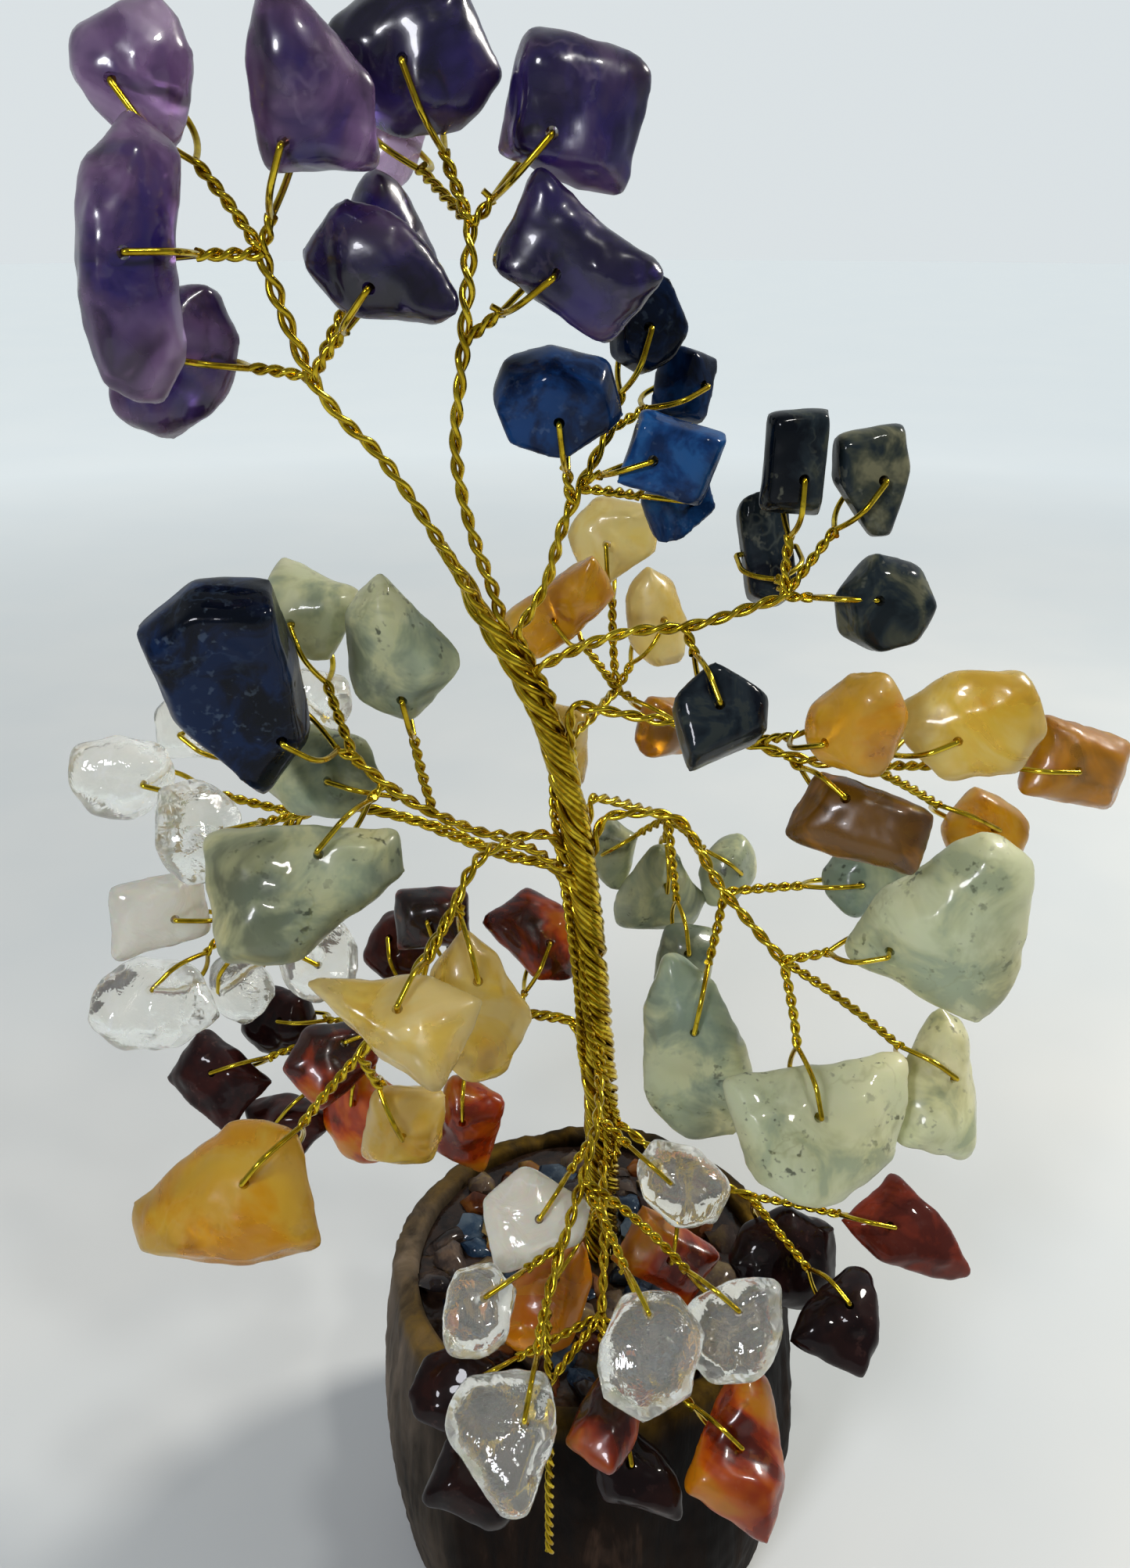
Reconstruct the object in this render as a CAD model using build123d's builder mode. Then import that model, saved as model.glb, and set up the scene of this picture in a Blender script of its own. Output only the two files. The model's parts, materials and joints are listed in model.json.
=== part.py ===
from build123d import *
from dataclasses import dataclass
from math import cos, pi, radians, sin, tan
import os

# Gemstone tree: drilled stone chips on twisted wire branches, rooted in a log base.
# Millimetres. Origin at the middle of the log's underside, +Z up, -Y towards the viewer.

# Log base
base_height = 46.0
foot_radius = 26.0
belly_radius = 28.5
belly_height = 20.0
rim_radius = 25.5
rim_wall = 3.0
recess_depth = 8.0
log_edge_round = 1.2

# Stone bed in the top of the log
bed_below_rim = 2.0
bed_fit = 0.05
bed_chip_width = 4.6
bed_chip_height = 3.6
bed_chip_sunk = 1.8
bed_chip_tilt = 14.0
bed_ring_step = 5.2
bed_ring_first = 8.0
bed_ring_count = 3
bed_chip_spacing = 6.0
bed_chip_taper = 10.0
bed_chip_turn = 137.5
bed_chip_lean_step = 2.4
bed_chip_corners = (0.5, 0.42, 0.5, 0.4, 0.46)

# Wire
wire_diameter = 0.6
twig_diameter = 1.2
stem_diameter = 2.0
root_ball_diameter = 2.6
bend_clearance = 0.3

# Trunk: a core with bundles laid up round it
core_diameter = 2.0
core_depth_in_bed = 5.0
strand_diameter = 1.4
strand_gap = 0.4
strand_lay = 24.0
strand_points_per_turn = 4
strand_tops = [78.5, 79.0, 80.0, 81.5, 83.0, 84.0]

# Drilled chips
bore_clearance = 0.4
hole_inset = 3.4
loop_gap = 0.3
loop_spread = 0.5
loop_legs_apart = 0.4
loop_bend_radius = 0.6
chip_corner_round = 0.16
chip_rim_share = 0.8
swivel_range = 12.0

# Worked out from the sizes above
bed_top = base_height - bed_below_rim
bed_thickness = recess_depth - bed_below_rim
recess_radius = rim_radius - rim_wall
lay_radius = core_diameter / 2 + strand_gap + strand_diameter / 2
trunk_radius = lay_radius + strand_diameter / 2
bore_diameter = wire_diameter + bore_clearance

# The trunk's middle line, from its foot on the bed up to the fork of the crown
trunk_points = [
    (1.8, 2.0, 0.0),
    (1.9, 2.0, 12.0),
    (1.4, 1.0, 28.0),
    (0.1, 0.0, 46.0),
    (-1.4, -1.0, 63.0),
    (-3.8, -2.0, 77.0),
    (-9.2, -4.0, 88.0),
    (-14.8, -6.0, 98.5),
]

# Outlines of tumbled chips, one unit long and wide, the narrow end to the right
outlines = {
    "pebble": [
        (-0.5, -0.1), (-0.28, -0.46), (0.22, -0.5), (0.5, -0.12), (0.36, 0.38), (-0.12, 0.5), (-0.46, 0.28),
    ],
    "block": [(-0.5, -0.38), (0.4, -0.5), (0.5, 0.34), (-0.38, 0.5)],
    "wedge": [(-0.5, -0.34), (-0.14, -0.5), (0.44, -0.24), (0.5, 0.02), (0.0, 0.44), (-0.36, 0.5)],
    "kite": [(-0.5, 0.1), (-0.16, -0.46), (0.5, -0.08), (0.3, 0.3), (-0.2, 0.5)],
    "bean": [
        (-0.5, -0.16), (-0.3, -0.5), (0.08, -0.4), (0.38, -0.46),
        (0.5, 0.0), (0.32, 0.46), (-0.1, 0.5), (-0.42, 0.36),
    ],
    "drop": [(-0.5, -0.2), (-0.2, -0.5), (0.3, -0.36), (0.5, 0.0), (0.26, 0.34), (-0.22, 0.5), (-0.48, 0.24)],
    "shard": [(-0.5, -0.44), (0.26, -0.5), (0.5, -0.1), (0.06, 0.5), (-0.4, 0.32)],
    "trapeze": [(-0.5, 0.44), (-0.4, -0.2), (0.06, -0.5), (0.44, -0.14), (0.5, 0.5)],
    "wing": [(-0.5, 0.42), (-0.1, -0.12), (0.3, -0.5), (0.5, 0.36), (0.1, 0.5)],
}


@dataclass
class Stone:
    """One chip: its gem, middle, size, outline, turn of its length, facing, and where its twig leaves."""

    gem: str
    at: tuple
    size: tuple
    outline: str
    turn: float
    face: tuple
    leaves: float
    name: str = ""


@dataclass
class Branch:
    """One branch: where it leaves the trunk, the points of its stem, and its stones."""

    name: str
    trunk_share: float
    stem: list
    stones: list


branches = [
    Branch("crown_left", 0.985, [(-18.5, -10, 107), (-22.5, -12, 111), (-25, -14, 116), (-26.7, -16, 124)], [
        Stone("amethyst", (-35.5, -14, 136), (9.5, 8.6, 6), "wedge", -70, (-14, -2), 1.0),
        Stone("amethyst", (-22.5, -18, 134), (11.8, 8.4, 6), "wedge", 107, (4, 2), 1.0, "amethyst_cone"),
        Stone("amethyst", (-36, -21, 124), (18.5, 7.2, 6), "bean", 82, (-16, 4), 1.0, "amethyst_long_bean"),
        Stone("amethyst", (-36, -11, 116), (12.6, 9.2, 6), "drop", 62, (-20, 6), 0.67),
        Stone("amethyst", (-17, -18, 123), (12.8, 7.8, 6), "wedge", -26, (6, 8), 0.67, "amethyst_wing"),
        Stone("amethyst", (-18.5, -8, 125.5), (9.5, 6.5, 4.6), "drop", 100, (10, -4), 0.67),
    ]),
    Branch("crown_right", 0.955, [(-13.6, -8, 105), (-11.4, -12, 117), (-10.8, -10, 126)], [
        Stone("amethyst", (-15.5, -9, 138.5), (11.5, 9.4, 6.4), "pebble", 8, (-6, 0), 1.0),
        Stone("amethyst", (-18, 0, 132.5), (8.2, 6.5, 4.6), "shard", -60, (-20, 0), 1.0),
        Stone("amethyst", (-3, -11, 134), (10.8, 9.6, 7), "block", -5, (12, 4), 1.0, "amethyst_block"),
        Stone("amethyst", (-3, -14, 123.5), (12, 8.4, 6), "block", -26, (16, 6), 0.71),
    ]),
    Branch("lapis", 0.89, [(-5, -4, 93.5), (-3.9, -5, 98), (-2.8, -6, 102), (1.2, -1.5, 108.5)], [
        Stone("lapis", (4, 0, 118), (9, 7, 5), "drop", 110, (18, 4), 1.0),
        Stone("lapis", (8.5, 5, 111.5), (7.2, 5.5, 4.6), "block", 82, (60, 6), 1.0),
        Stone("lapis", (-3.6, -8, 112), (11, 8.2, 6), "pebble", -8, (-4, 8), 0.62, "lapis_pentagon"),
        Stone("lapis", (6.5, -6, 107), (8.6, 7.2, 5), "block", -6, (10, 10), 0.74),
        Stone("lapis", (8.5, 4, 100.5), (7.2, 5.5, 4.4), "block", 30, (24, 8), 0.7),
    ]),
    Branch("sodalite", 0.845, [(1, -6, 90), (9, -8, 91), (14, -7, 92.5), (18, -6, 93.5)], [
        Stone("sodalite", (18, -6, 106), (9.6, 6.2, 5), "block", 96, (8, 8), 1.0),
        Stone("sodalite", (17.5, 3, 95.5), (12, 6.2, 5), "block", 80, (72, 4), 1.0),
        Stone("sodalite", (26, -3, 104), (10.4, 7.6, 4.6), "wedge", -72, (16, 10), 1.0),
        Stone("sodalite", (27, -6, 92.5), (9.4, 9, 5.6), "pebble", 64, (8, 14), 1.0, "sodalite_pebble"),
        Stone("sodalite", (11.5, -12.5, 83.5), (9.8, 8.6, 6), "shard", 24, (6, 16), 0.6),
    ]),
    Branch("honey_back", 0.74, [(0, 7, 76), (3, 15, 76)], [
        Stone("honey", (2, 20, 93), (10, 8, 5), "shard", 40, (-10, 14), 1.0),
        Stone("honey", (-4, 11, 87), (14.5, 6.5, 5), "block", 46, (-20, 12), 1.0),
        Stone("honey", (8, 18, 84.5), (10.8, 6.5, 5), "drop", 100, (20, 14), 1.0),
        Stone("honey", (-3, 19, 67), (9.8, 5.4, 4.6), "block", 94, (-12, 16), 1.0),
        Stone("honey", (10, 19, 70), (9.8, 6.8, 5), "block", -8, (18, 18), 1.0),
    ]),
    Branch("honey_right", 0.79, [(3, -4, 80.5), (10, -3.5, 79), (15.5, -6.5, 78.5), (20.5, -10.5, 78), (26.5, -10, 77.5)], [
        Stone("honey", (24, -16, 84), (11, 8.6, 6), "drop", 58, (8, 16), 0.6, "honey_drop"),
        Stone("honey", (36.5, -10, 83), (12.5, 10.2, 6.4), "pebble", 14, (18, 16), 1.0),
        Stone("honey", (49.5, -5, 75), (11.4, 8.2, 6), "block", -10, (26, 14), 1.0),
        Stone("honey", (25.5, -15, 73.5), (12.6, 6.8, 5.6), "block", -8, (8, 24), 0.74),
        Stone("honey", (42, -3, 66), (11.8, 9.4, 5.4), "shard", -54, (24, 18), 1.0),
    ]),
    Branch("green_right", 0.655, [(8.8, 1, 67.5), (11.5, -3, 64.5), (13.5, -6, 61), (19.7, -12, 56)], [
        Stone("green", (10.6, -10, 42), (21, 10.8, 6.4), "drop", 106, (-8, 22), 0.64, "green_long_drop"),
        Stone("green", (23, -20, 38.5), (17, 15, 7.6), "trapeze", -2, (8, 30), 1.0, "green_trapeze"),
        Stone("green", (37.5, -12, 41), (15, 9.6, 6), "wedge", 76, (22, 28), 1.0, "green_side_slab"),
        Stone("green", (30, -4, 61.5), (9.6, 8, 5.6), "pebble", 16, (20, 22), 0.64),
        Stone("green", (35, -16, 63), (18, 15, 7.6), "kite", 58, (16, 20), 1.0, "green_large_slab"),
    ]),
    Branch("green_back", 0.665, [(4.5, 7, 65), (9.5, 13, 60)], [
        Stone("green", (3, 20, 52), (9, 5.4, 4.6), "block", 76, (-16, 18), 1.0),
        Stone("green", (9.5, 17, 47.5), (13.5, 10.4, 5.6), "wedge", 98, (4, 22), 1.0),
        Stone("green", (18, 20, 49), (9, 7.6, 5), "pebble", 30, (24, 20), 1.0),
        Stone("green", (11.5, 7.5, 43), (10, 6.4, 5), "block", 82, (12, 26), 1.0),
    ]),
    Branch("green_left", 0.66, [(-10, -5, 66.5), (-16, -10, 72), (-19.5, -12.5, 75.5), (-23, -14, 80)], [
        Stone("lapis", (-32.5, -19, 89), (19, 12.8, 7.4), "kite", -66, (-14, 14), 1.0, "lapis_kite"),
        Stone("green", (-28.5, -7, 92.5), (9, 8.2, 5.4), "block", -10, (-12, 12), 1.0),
        Stone("green", (-19, -13, 90), (13.4, 9.8, 6.2), "kite", 106, (6, 12), 0.56, "green_kite"),
        Stone("green", (-27.5, -19, 70), (18.5, 12.4, 7.4), "wedge", 20, (-6, 24), 0.84, "green_wedge"),
        Stone("green", (-27.5, -7.5, 75.5), (12.4, 8.6, 5.6), "pebble", 10, (-20, 20), 0.7),
    ]),
    Branch("quartz_left", 0.615, [(-10, -2, 63), (-19, -1, 67), (-30, -2, 70), (-36, -1, 63), (-40, 0, 54)], [
        Stone("quartz", (-48.3, -4, 74), (9.6, 8.4, 6), "pebble", -8, (-24, 18), 0.62),
        Stone("quartz", (-39.5, -12, 70.5), (10.6, 8.6, 6), "pebble", 72, (-16, 20), 0.6),
        Stone("quartz", (-48, -3, 56), (9.6, 7.6, 5.4), "block", 8, (-28, 22), 1.0),
        Stone("quartz", (-50, -5, 45), (13.6, 9.8, 6.4), "pebble", 10, (-22, 26), 1.0),
        Stone("quartz", (-42.5, 4, 42), (9.4, 8.2, 5.4), "pebble", 40, (-30, 26), 1.0),
        Stone("quartz", (-32, 1, 48), (10, 9, 5.6), "drop", 60, (-10, 26), 1.0),
        Stone("quartz", (-44, 4, 76), (8.4, 7, 5), "shard", 20, (-36, 16), 0.62),
        Stone("quartz", (-31, 6, 78), (10, 7.4, 5), "pebble", 12, (-14, 16), 0.56),
    ]),
    Branch("honey_left", 0.63, [(-7.5, -8, 68.5), (-12, -14.5, 70), (-14.5, -21, 65), (-23, -24, 53)], [
        Stone("honey", (-19, -29, 59), (15, 10, 5.6), "wing", -8, (-8, 28), 0.56, "honey_wing"),
        Stone("honey", (-11.4, -20, 56), (15, 8.2, 6), "drop", 98, (12, 24), 0.52),
        Stone("honey", (-20, -20, 40.5), (10.8, 7.2, 5), "block", 88, (4, 32), 1.0),
        Stone("honey", (-37, -29, 37.5), (18.2, 12.4, 7.6), "wedge", 212, (-10, 34), 1.0, "honey_hanging_wedge"),
    ]),
    Branch("red_left", 0.375, [(-8, 5, 37), (-17, 8, 35), (-28.5, 10, 31.5)], [
        Stone("carnelian", (-5.5, 12, 43.5), (12, 8.4, 5.6), "shard", -58, (10, 20), 0.24),
        Stone("carnelian", (-20, 13, 46), (9.4, 8, 5), "block", 12, (-6, 18), 0.5),
        Stone("red", (-25, 18, 39), (10.4, 8, 5.6), "pebble", 30, (-16, 18), 0.8),
        Stone("carnelian", (-16, 6, 19), (12, 7.6, 5.6), "block", 84, (-4, 34), 0.5),
        Stone("carnelian", (-30.5, 9, 18.5), (12, 9.8, 5.6), "pebble", 96, (-12, 34), 1.0),
        Stone("carnelian", (-32.5, 4, 32), (11.4, 8.4, 5), "shard", 36, (-18, 30), 0.76),
        Stone("red", (-50, 11, 22.5), (11.5, 9, 6), "block", -16, (-30, 28), 1.0),
        Stone("red", (-41.5, 16, 28.5), (11, 9, 5.6), "pebble", 20, (-24, 22), 1.0),
        Stone("red", (-41, 12, 14), (12.5, 9.6, 5.6), "wedge", 40, (-18, 34), 1.0),
    ]),
    Branch("quartz_front", 0.33, [(1, -8, 33), (-1, -16, 30.5), (-4, -25, 26.5), (-5, -28, 24.5)], [
        Stone("quartz", (-6, -17, 25), (11.4, 8.8, 5.6), "shard", 22, (-4, 36), 0.3),
        Stone("quartz", (10, -13.5, 25.5), (11, 7.4, 5.4), "pebble", -38, (10, 32), 0.2),
        Stone("quartz", (-12, -29.5, 25), (9.6, 7.6, 5.4), "pebble", 66, (-10, 40), 0.78, "quartz_front_pebble"),
        Stone("quartz", (-7.5, -39, 17.3), (13, 10.8, 6.6), "wedge", -76, (-2, 44), 1.0, "quartz_front_wedge"),
        Stone("quartz", (6.5, -31, 22.5), (10.8, 9.6, 6), "pebble", 80, (6, 40), 0.5),
        Stone("quartz", (15.5, -26, 20), (11, 9, 5.6), "drop", 34, (18, 38), 0.5),
    ]),
    Branch("red_right", 0.24, [(7, -4, 23.5), (13, -7, 21.5), (19, -9, 20.5)], [
        Stone("red", (24, -11, 12.5), (12.5, 10, 6), "pebble", -20, (10, 40), 1.0),
        Stone("red", (27.5, -21, 14), (12, 9.6, 6), "wedge", 64, (24, 36), 1.0),
        Stone("red", (39.5, -9, 15), (14, 8.6, 6), "wedge", -42, (26, 32), 1.0, "red_side_wedge"),
        Stone("carnelian", (9.5, -10, 12), (10.4, 8, 5), "block", -24, (6, 44), 0.5),
    ]),
    Branch("red_front", 0.19, [(1.5, -7, 19), (1.5, -15, 17), (1, -21, 14.5)], [
        Stone("carnelian", (-5.6, -15, 10.8), (13, 8.6, 5.6), "drop", 62, (-8, 34), 0.3),
        Stone("carnelian", (16, -30, 4), (15, 10.8, 6), "wedge", 74, (14, 46), 1.0, "carnelian_low_wedge"),
        Stone("carnelian", (1.3, -32, 13), (12, 6.2, 5), "wedge", 80, (0, 42), 1.0),
        Stone("red", (-14, -26, 9), (9.5, 7.6, 5), "pebble", 44, (-20, 40), 1.0),
        Stone("red", (-11.5, -36, 8.5), (11.2, 9.2, 5.6), "shard", -20, (-12, 44), 1.0),
        Stone("red", (3.6, -32, 3), (11.5, 9, 5.6), "kite", -30, (6, 46), 1.0),
    ]),
]


def tree_point(place):
    """A place given from the trunk's foot on the bed, in the part's frame."""
    return Vector(*place) + Vector(0, 0, bed_top)


def smooth_points(points):
    """The points of a route without those that turn it too little to take an arc."""
    least_turn = 2.0
    kept = [points[0]]
    for here, after in zip(points[1:], points[2:]):
        if (here - kept[-1]).get_angle(after - here) > least_turn:
            kept.append(here)
    kept.append(points[-1])
    return kept


def widest_radii(points):
    """The largest radius that the runs on either side of each corner leave room for."""
    share_of_run = 0.45
    radii = []
    for before, here, after in zip(points, points[1:], points[2:]):
        turn = radians((here - before).get_angle(after - here))
        shorter_run = min((here - before).length, (after - here).length)
        radii.append(share_of_run * shorter_run / tan(turn / 2))
    return radii


def route(points, bend_radius=None):
    """Straight runs joined by tangent arcs, as wide as the runs allow or of one bend radius."""
    points = smooth_points(points)
    with BuildLine() as line:
        if len(points) == 2:
            Line(*points)
        else:
            FilletPolyline(*points, radius=bend_radius or widest_radii(points))
    return line.wire()


def tube(path, diameter):
    """A round wire or bundle along a path."""
    with BuildPart() as body:
        with BuildSketch(Plane(origin=path @ 0, z_dir=path % 0)):
            Circle(diameter / 2)
        sweep(path=path)
    return body.part


def along(path, share):
    """The point at a share of a path's length."""
    return path.position_at(share * path.length, position_mode=PositionMode.LENGTH)


def heading(path, share):
    """The direction at a share of a path's length."""
    return path.tangent_at(share * path.length, position_mode=PositionMode.LENGTH)


def two_arcs(start, start_heading, end, end_heading):
    """Two tangent arcs from one point and heading to another."""
    span = end - start
    both = start_heading + end_heading
    spread = 2 * (1 - start_heading.dot(end_heading))
    if spread < 1e-6:
        reach = span.length / 2
    else:
        across = span.dot(both)
        reach = ((across**2 + spread * span.dot(span)) ** 0.5 - across) / spread
    middle = (start + start_heading * reach + end - end_heading * reach) / 2
    first = Edge.make_tangent_arc(start, start_heading, middle)
    second = Edge.make_tangent_arc(middle, first % 1, end)
    return [first, second]


# Log base: a barrel with a recess for the stone bed
with BuildPart() as log_base:
    with BuildSketch(Plane.XZ):
        with BuildLine():
            Line((0, 0), (foot_radius, 0))
            ThreePointArc((foot_radius, 0), (belly_radius, belly_height), (rim_radius, base_height))
            Polyline(
                (rim_radius, base_height),
                (recess_radius, base_height),
                (recess_radius, base_height - recess_depth),
                (0, base_height - recess_depth),
                (0, 0),
            )
        make_face()
    revolve(axis=Axis.Z)
    fillet(log_base.edges().filter_by(GeomType.CIRCLE).sort_by(SortBy.RADIUS)[-2:], log_edge_round)
log_base.part.label = "log_base"

# Trunk: the core, and the bundles laid up round it
trunk_line = route([tree_point(p) for p in trunk_points])
foot = trunk_line @ 0

with BuildPart() as trunk_core:
    add(tube(trunk_line, core_diameter))
    with Locations(foot):
        Cylinder(core_diameter / 2, core_depth_in_bed, align=(Align.CENTER, Align.CENTER, Align.MAX))
trunk_core.part.label = "trunk_core"


def lay_point(number, height):
    """A point of one bundle at a height along the trunk's line, and the bundle's heading there."""

    def at(distance):
        share = distance / trunk_line.length
        up = heading(trunk_line, share)
        side = Vector(1, 0, 0).cross(up).normalized()
        front = up.cross(side).normalized()
        phase = 2 * pi * (number / len(strand_tops) + distance / strand_lay)
        return along(trunk_line, share) + (side * cos(phase) + front * sin(phase)) * lay_radius

    step = 0.01
    return at(height), (at(height + step) - at(height - step)).normalized()


def lay_strand(number, top):
    """One bundle, with a straight end square to the bed."""
    turn_count = (top - strand_diameter) / strand_lay
    steps = round(turn_count * strand_points_per_turn)
    heights = [strand_diameter + (top - strand_diameter) * n / steps for n in range(steps + 1)]
    places = [lay_point(number, h) for h in heights]
    first_place = places[0][0]
    base_place = Vector(first_place.X, first_place.Y, bed_top)
    up = Vector(0, 0, 1)
    straight_end = base_place + up * strand_diameter
    places[0] = (straight_end, up)
    edges = [Edge.make_line(base_place, straight_end)]
    for (start, start_heading), (end, end_heading) in zip(places, places[1:]):
        edges += two_arcs(start, start_heading, end, end_heading)
    return Wire(edges)


def least_gap(one, other, apart):
    """The least gap between two bundles, on points that lie some way apart along their length."""
    point_step = 0.5
    gaps = []
    for n in range(int(one.length / point_step)):
        here = along(one, n * point_step / one.length)
        for m in range(int(other.length / point_step)):
            if abs(m - n) * point_step >= apart:
                gaps.append((along(other, m * point_step / other.length) - here).length)
    return min(gaps) - strand_diameter


strand_lines = [lay_strand(number, top) for number, top in enumerate(strand_tops)]
print("least gap of a trunk bundle to itself", round(least_gap(strand_lines[0], strand_lines[0], strand_lay / 2), 2))
with BuildPart() as trunk_strands:
    add([tube(line, strand_diameter) for line in strand_lines])
trunk_strands.part.label = "trunk_strands"


def bed_chip(number, place, width):
    """One flat-sided chip, half sunk in the bed."""
    bearing = number * bed_chip_turn
    lean = bed_chip_tilt * sin(number * bed_chip_lean_step)
    stand = Plane.XY.rotated((lean, lean / 2, bearing))
    stand.origin = place
    corners = []
    for n, share in enumerate(bed_chip_corners):
        angle = 2 * pi * n / len(bed_chip_corners)
        corners.append((width * share * cos(angle), width * share * sin(angle)))
    with BuildPart() as chip:
        with BuildSketch(stand):
            Polygon(*corners, align=None)
        extrude(amount=bed_chip_height, taper=bed_chip_taper)
    return chip.part


# Small chips set in rings round the trunk's foot, in three colours
bed_colours = ("blue", "orange", "grey")
bed_chips = {colour: [] for colour in bed_colours}
chip_number = 0
for ring in range(bed_ring_count):
    ring_radius = bed_ring_first + ring * bed_ring_step
    in_ring = int(2 * pi * ring_radius / bed_chip_spacing)
    for n in range(in_ring):
        angle = 2 * pi * (n + ring / 2) / in_ring
        spot = Vector(ring_radius * cos(angle), ring_radius * sin(angle), bed_top - bed_chip_sunk)
        colour = bed_colours[(chip_number * 2 + ring) % len(bed_colours)]
        bed_chips[colour].append(bed_chip(chip_number, spot, bed_chip_width))
        chip_number += 1

with BuildPart() as resin_bed:
    with Locations((0, 0, base_height - recess_depth)):
        Cylinder(recess_radius - bed_fit, bed_thickness, align=(Align.CENTER, Align.CENTER, Align.MIN))
    add([chip for colour in bed_colours for chip in bed_chips[colour]], mode=Mode.SUBTRACT)
    with Locations(foot):
        Cylinder(
            core_diameter / 2 + bed_fit,
            core_depth_in_bed,
            align=(Align.CENTER, Align.CENTER, Align.MAX),
            mode=Mode.SUBTRACT,
        )
resin_bed.part.label = "resin_bed"


def facing_plane(stone, hub):
    """The plane of a chip's outline: +Z out of its drilled face, +X along its length, square to its twig."""
    middle = tree_point(stone.at)
    bearing, tilt = (radians(a) for a in stone.face)
    viewed = Vector(sin(bearing) * cos(tilt), -cos(bearing) * cos(tilt), sin(tilt))
    to_hub = (hub - middle).normalized()
    out = (viewed - to_hub * viewed.dot(to_hub)).normalized()
    level = Vector(0, 0, 1).cross(out).normalized()
    length_way = level.rotate(Axis((0, 0, 0), out), stone.turn)
    return Plane(origin=middle, x_dir=length_way, z_dir=out)


def chip_corners(stone):
    """The outline's corners in the chip's own plane."""
    length, width, _ = stone.size
    return [Vector(length * x, width * y) for x, y in outlines[stone.outline]]


def edge_reach(corners, way):
    """How far the outline reaches from its middle in one direction of its plane."""
    for a, b in zip(corners, corners[1:] + corners[:1]):
        side = b - a
        turn = way.X * side.Y - way.Y * side.X
        if abs(turn) < 1e-9:
            continue
        reach = (a.X * side.Y - a.Y * side.X) / turn
        share = (a.X * way.Y - a.Y * way.X) / turn
        if reach > 0 and 0 <= share <= 1:
            return reach
    raise ValueError("the outline doesn't go round its middle")


@dataclass
class Threading:
    """How a wire is threaded through a chip: its plane, the hole, the way to the twig, and the loop's knot."""

    plane: Plane
    hole: Vector
    to_twig: Vector
    rise: float
    shoulder: Vector
    knot: Vector


def thread(stone, hub):
    """Where a chip is drilled for a twig that comes from a hub."""
    plane = facing_plane(stone, hub)
    corners = chip_corners(stone)
    way = plane.to_local_coords(hub).normalized()
    reach = edge_reach(corners, way)
    swung = [edge_reach(corners, way.rotate(Axis.Z, angle)) for angle in (-swivel_range, swivel_range)]
    to_twig = (hub - plane.origin).normalized()
    rise = stone.size[2] / 2 + loop_gap + wire_diameter / 2
    hole = plane.origin + to_twig * (reach - hole_inset)
    shoulder = plane.origin + to_twig * (max(reach, *swung) + loop_gap + wire_diameter / 2)
    knot = shoulder + to_twig * (rise * loop_spread)
    return Threading(plane, hole, to_twig, rise, shoulder, knot)


def drilled_chip(stone, threading):
    """A tumbled chip: an outline with rounded corners and rims, and a bore for the wire."""
    plane = threading.plane
    length, width, thickness = stone.size
    corner_radius = chip_corner_round * min(length, width)
    with BuildPart() as chip:
        with BuildSketch(plane) as outline:
            Polygon(*chip_corners(stone), align=None)
            fillet(outline.vertices(), corner_radius)
        extrude(amount=thickness / 2, both=True)
        flats = chip.faces().filter_by(plane)
        fillet(flats.edges(), chip_rim_share * corner_radius)
        with Locations(Plane(origin=threading.hole, z_dir=plane.z_dir)):
            Cylinder(bore_diameter / 2, 2 * thickness, mode=Mode.SUBTRACT)
    return chip.part


def twig_and_loop(hub, threading):
    """A twisted twig from the stem, and the loop that goes through the chip and back."""
    sleeve_end = threading.knot - threading.to_twig * wire_diameter
    twig = tube(route([hub, sleeve_end]), twig_diameter)
    axis = threading.plane.z_dir
    out = axis * threading.rise
    beside = axis * (wire_diameter * loop_legs_apart)
    loop_points = [
        threading.knot + beside,
        threading.shoulder + out,
        threading.hole + out,
        threading.hole - out,
        threading.shoulder - out,
        threading.knot - beside,
    ]
    return [twig, tube(route(loop_points, loop_bend_radius), wire_diameter)]


def branch_root(branch):
    """The middle of a branch's root, just clear of the trunk, on the side it leaves by."""
    start = along(trunk_line, branch.trunk_share)
    up = heading(trunk_line, branch.trunk_share)
    way = tree_point(branch.stem[0]) - start
    away = (way - up * way.dot(up)).normalized()
    height = branch.trunk_share * trunk_line.length
    girth = trunk_radius if height < max(strand_tops) + strand_diameter else core_diameter / 2
    return start + away * (girth + bend_clearance + root_ball_diameter / 2)


# Branches, with the chips on them
wires = {}
chips = {}
for branch in branches:
    root = branch_root(branch)
    stem_line = route([root] + [tree_point(p) for p in branch.stem])
    pieces = [tube(stem_line, stem_diameter)]
    for stone in branch.stones:
        hub = along(stem_line, stone.leaves)
        threading = thread(stone, hub)
        pieces += twig_and_loop(hub, threading)
        node = stone.name or f"{branch.name}_{stone.gem}"
        chips.setdefault(node, []).append(drilled_chip(stone, threading))
        if stone.name:
            print("swivel", node, branch.name, tuple(threading.hole), tuple(threading.plane.z_dir))
    with BuildPart() as wire:
        with Locations(root):
            Sphere(root_ball_diameter / 2)
        add(pieces)
    wire.part.label = f"{branch.name}_wire"
    wires[wire.part.label] = wire.part
    way = stem_line @ 1 - root
    hinge = Vector(way.Y, -way.X, 0).normalized()
    print("bend", branch.name, tuple(root), tuple(hinge), "solids", len(wire.solids()))

# Write every node
os.makedirs("parts", exist_ok=True)
for piece in (log_base, resin_bed, trunk_core, trunk_strands):
    export_step(piece.part, f"parts/{piece.part.label}.step")
for label, part in wires.items():
    export_step(part, f"parts/{label}.step")
for groups in ({f"bed_chips_{c}": bed_chips[c] for c in bed_colours}, chips):
    for label, solids in groups.items():
        with BuildPart() as group:
            add(solids)
        group.part.label = label
        export_step(group.part, f"parts/{label}.step")
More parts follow.
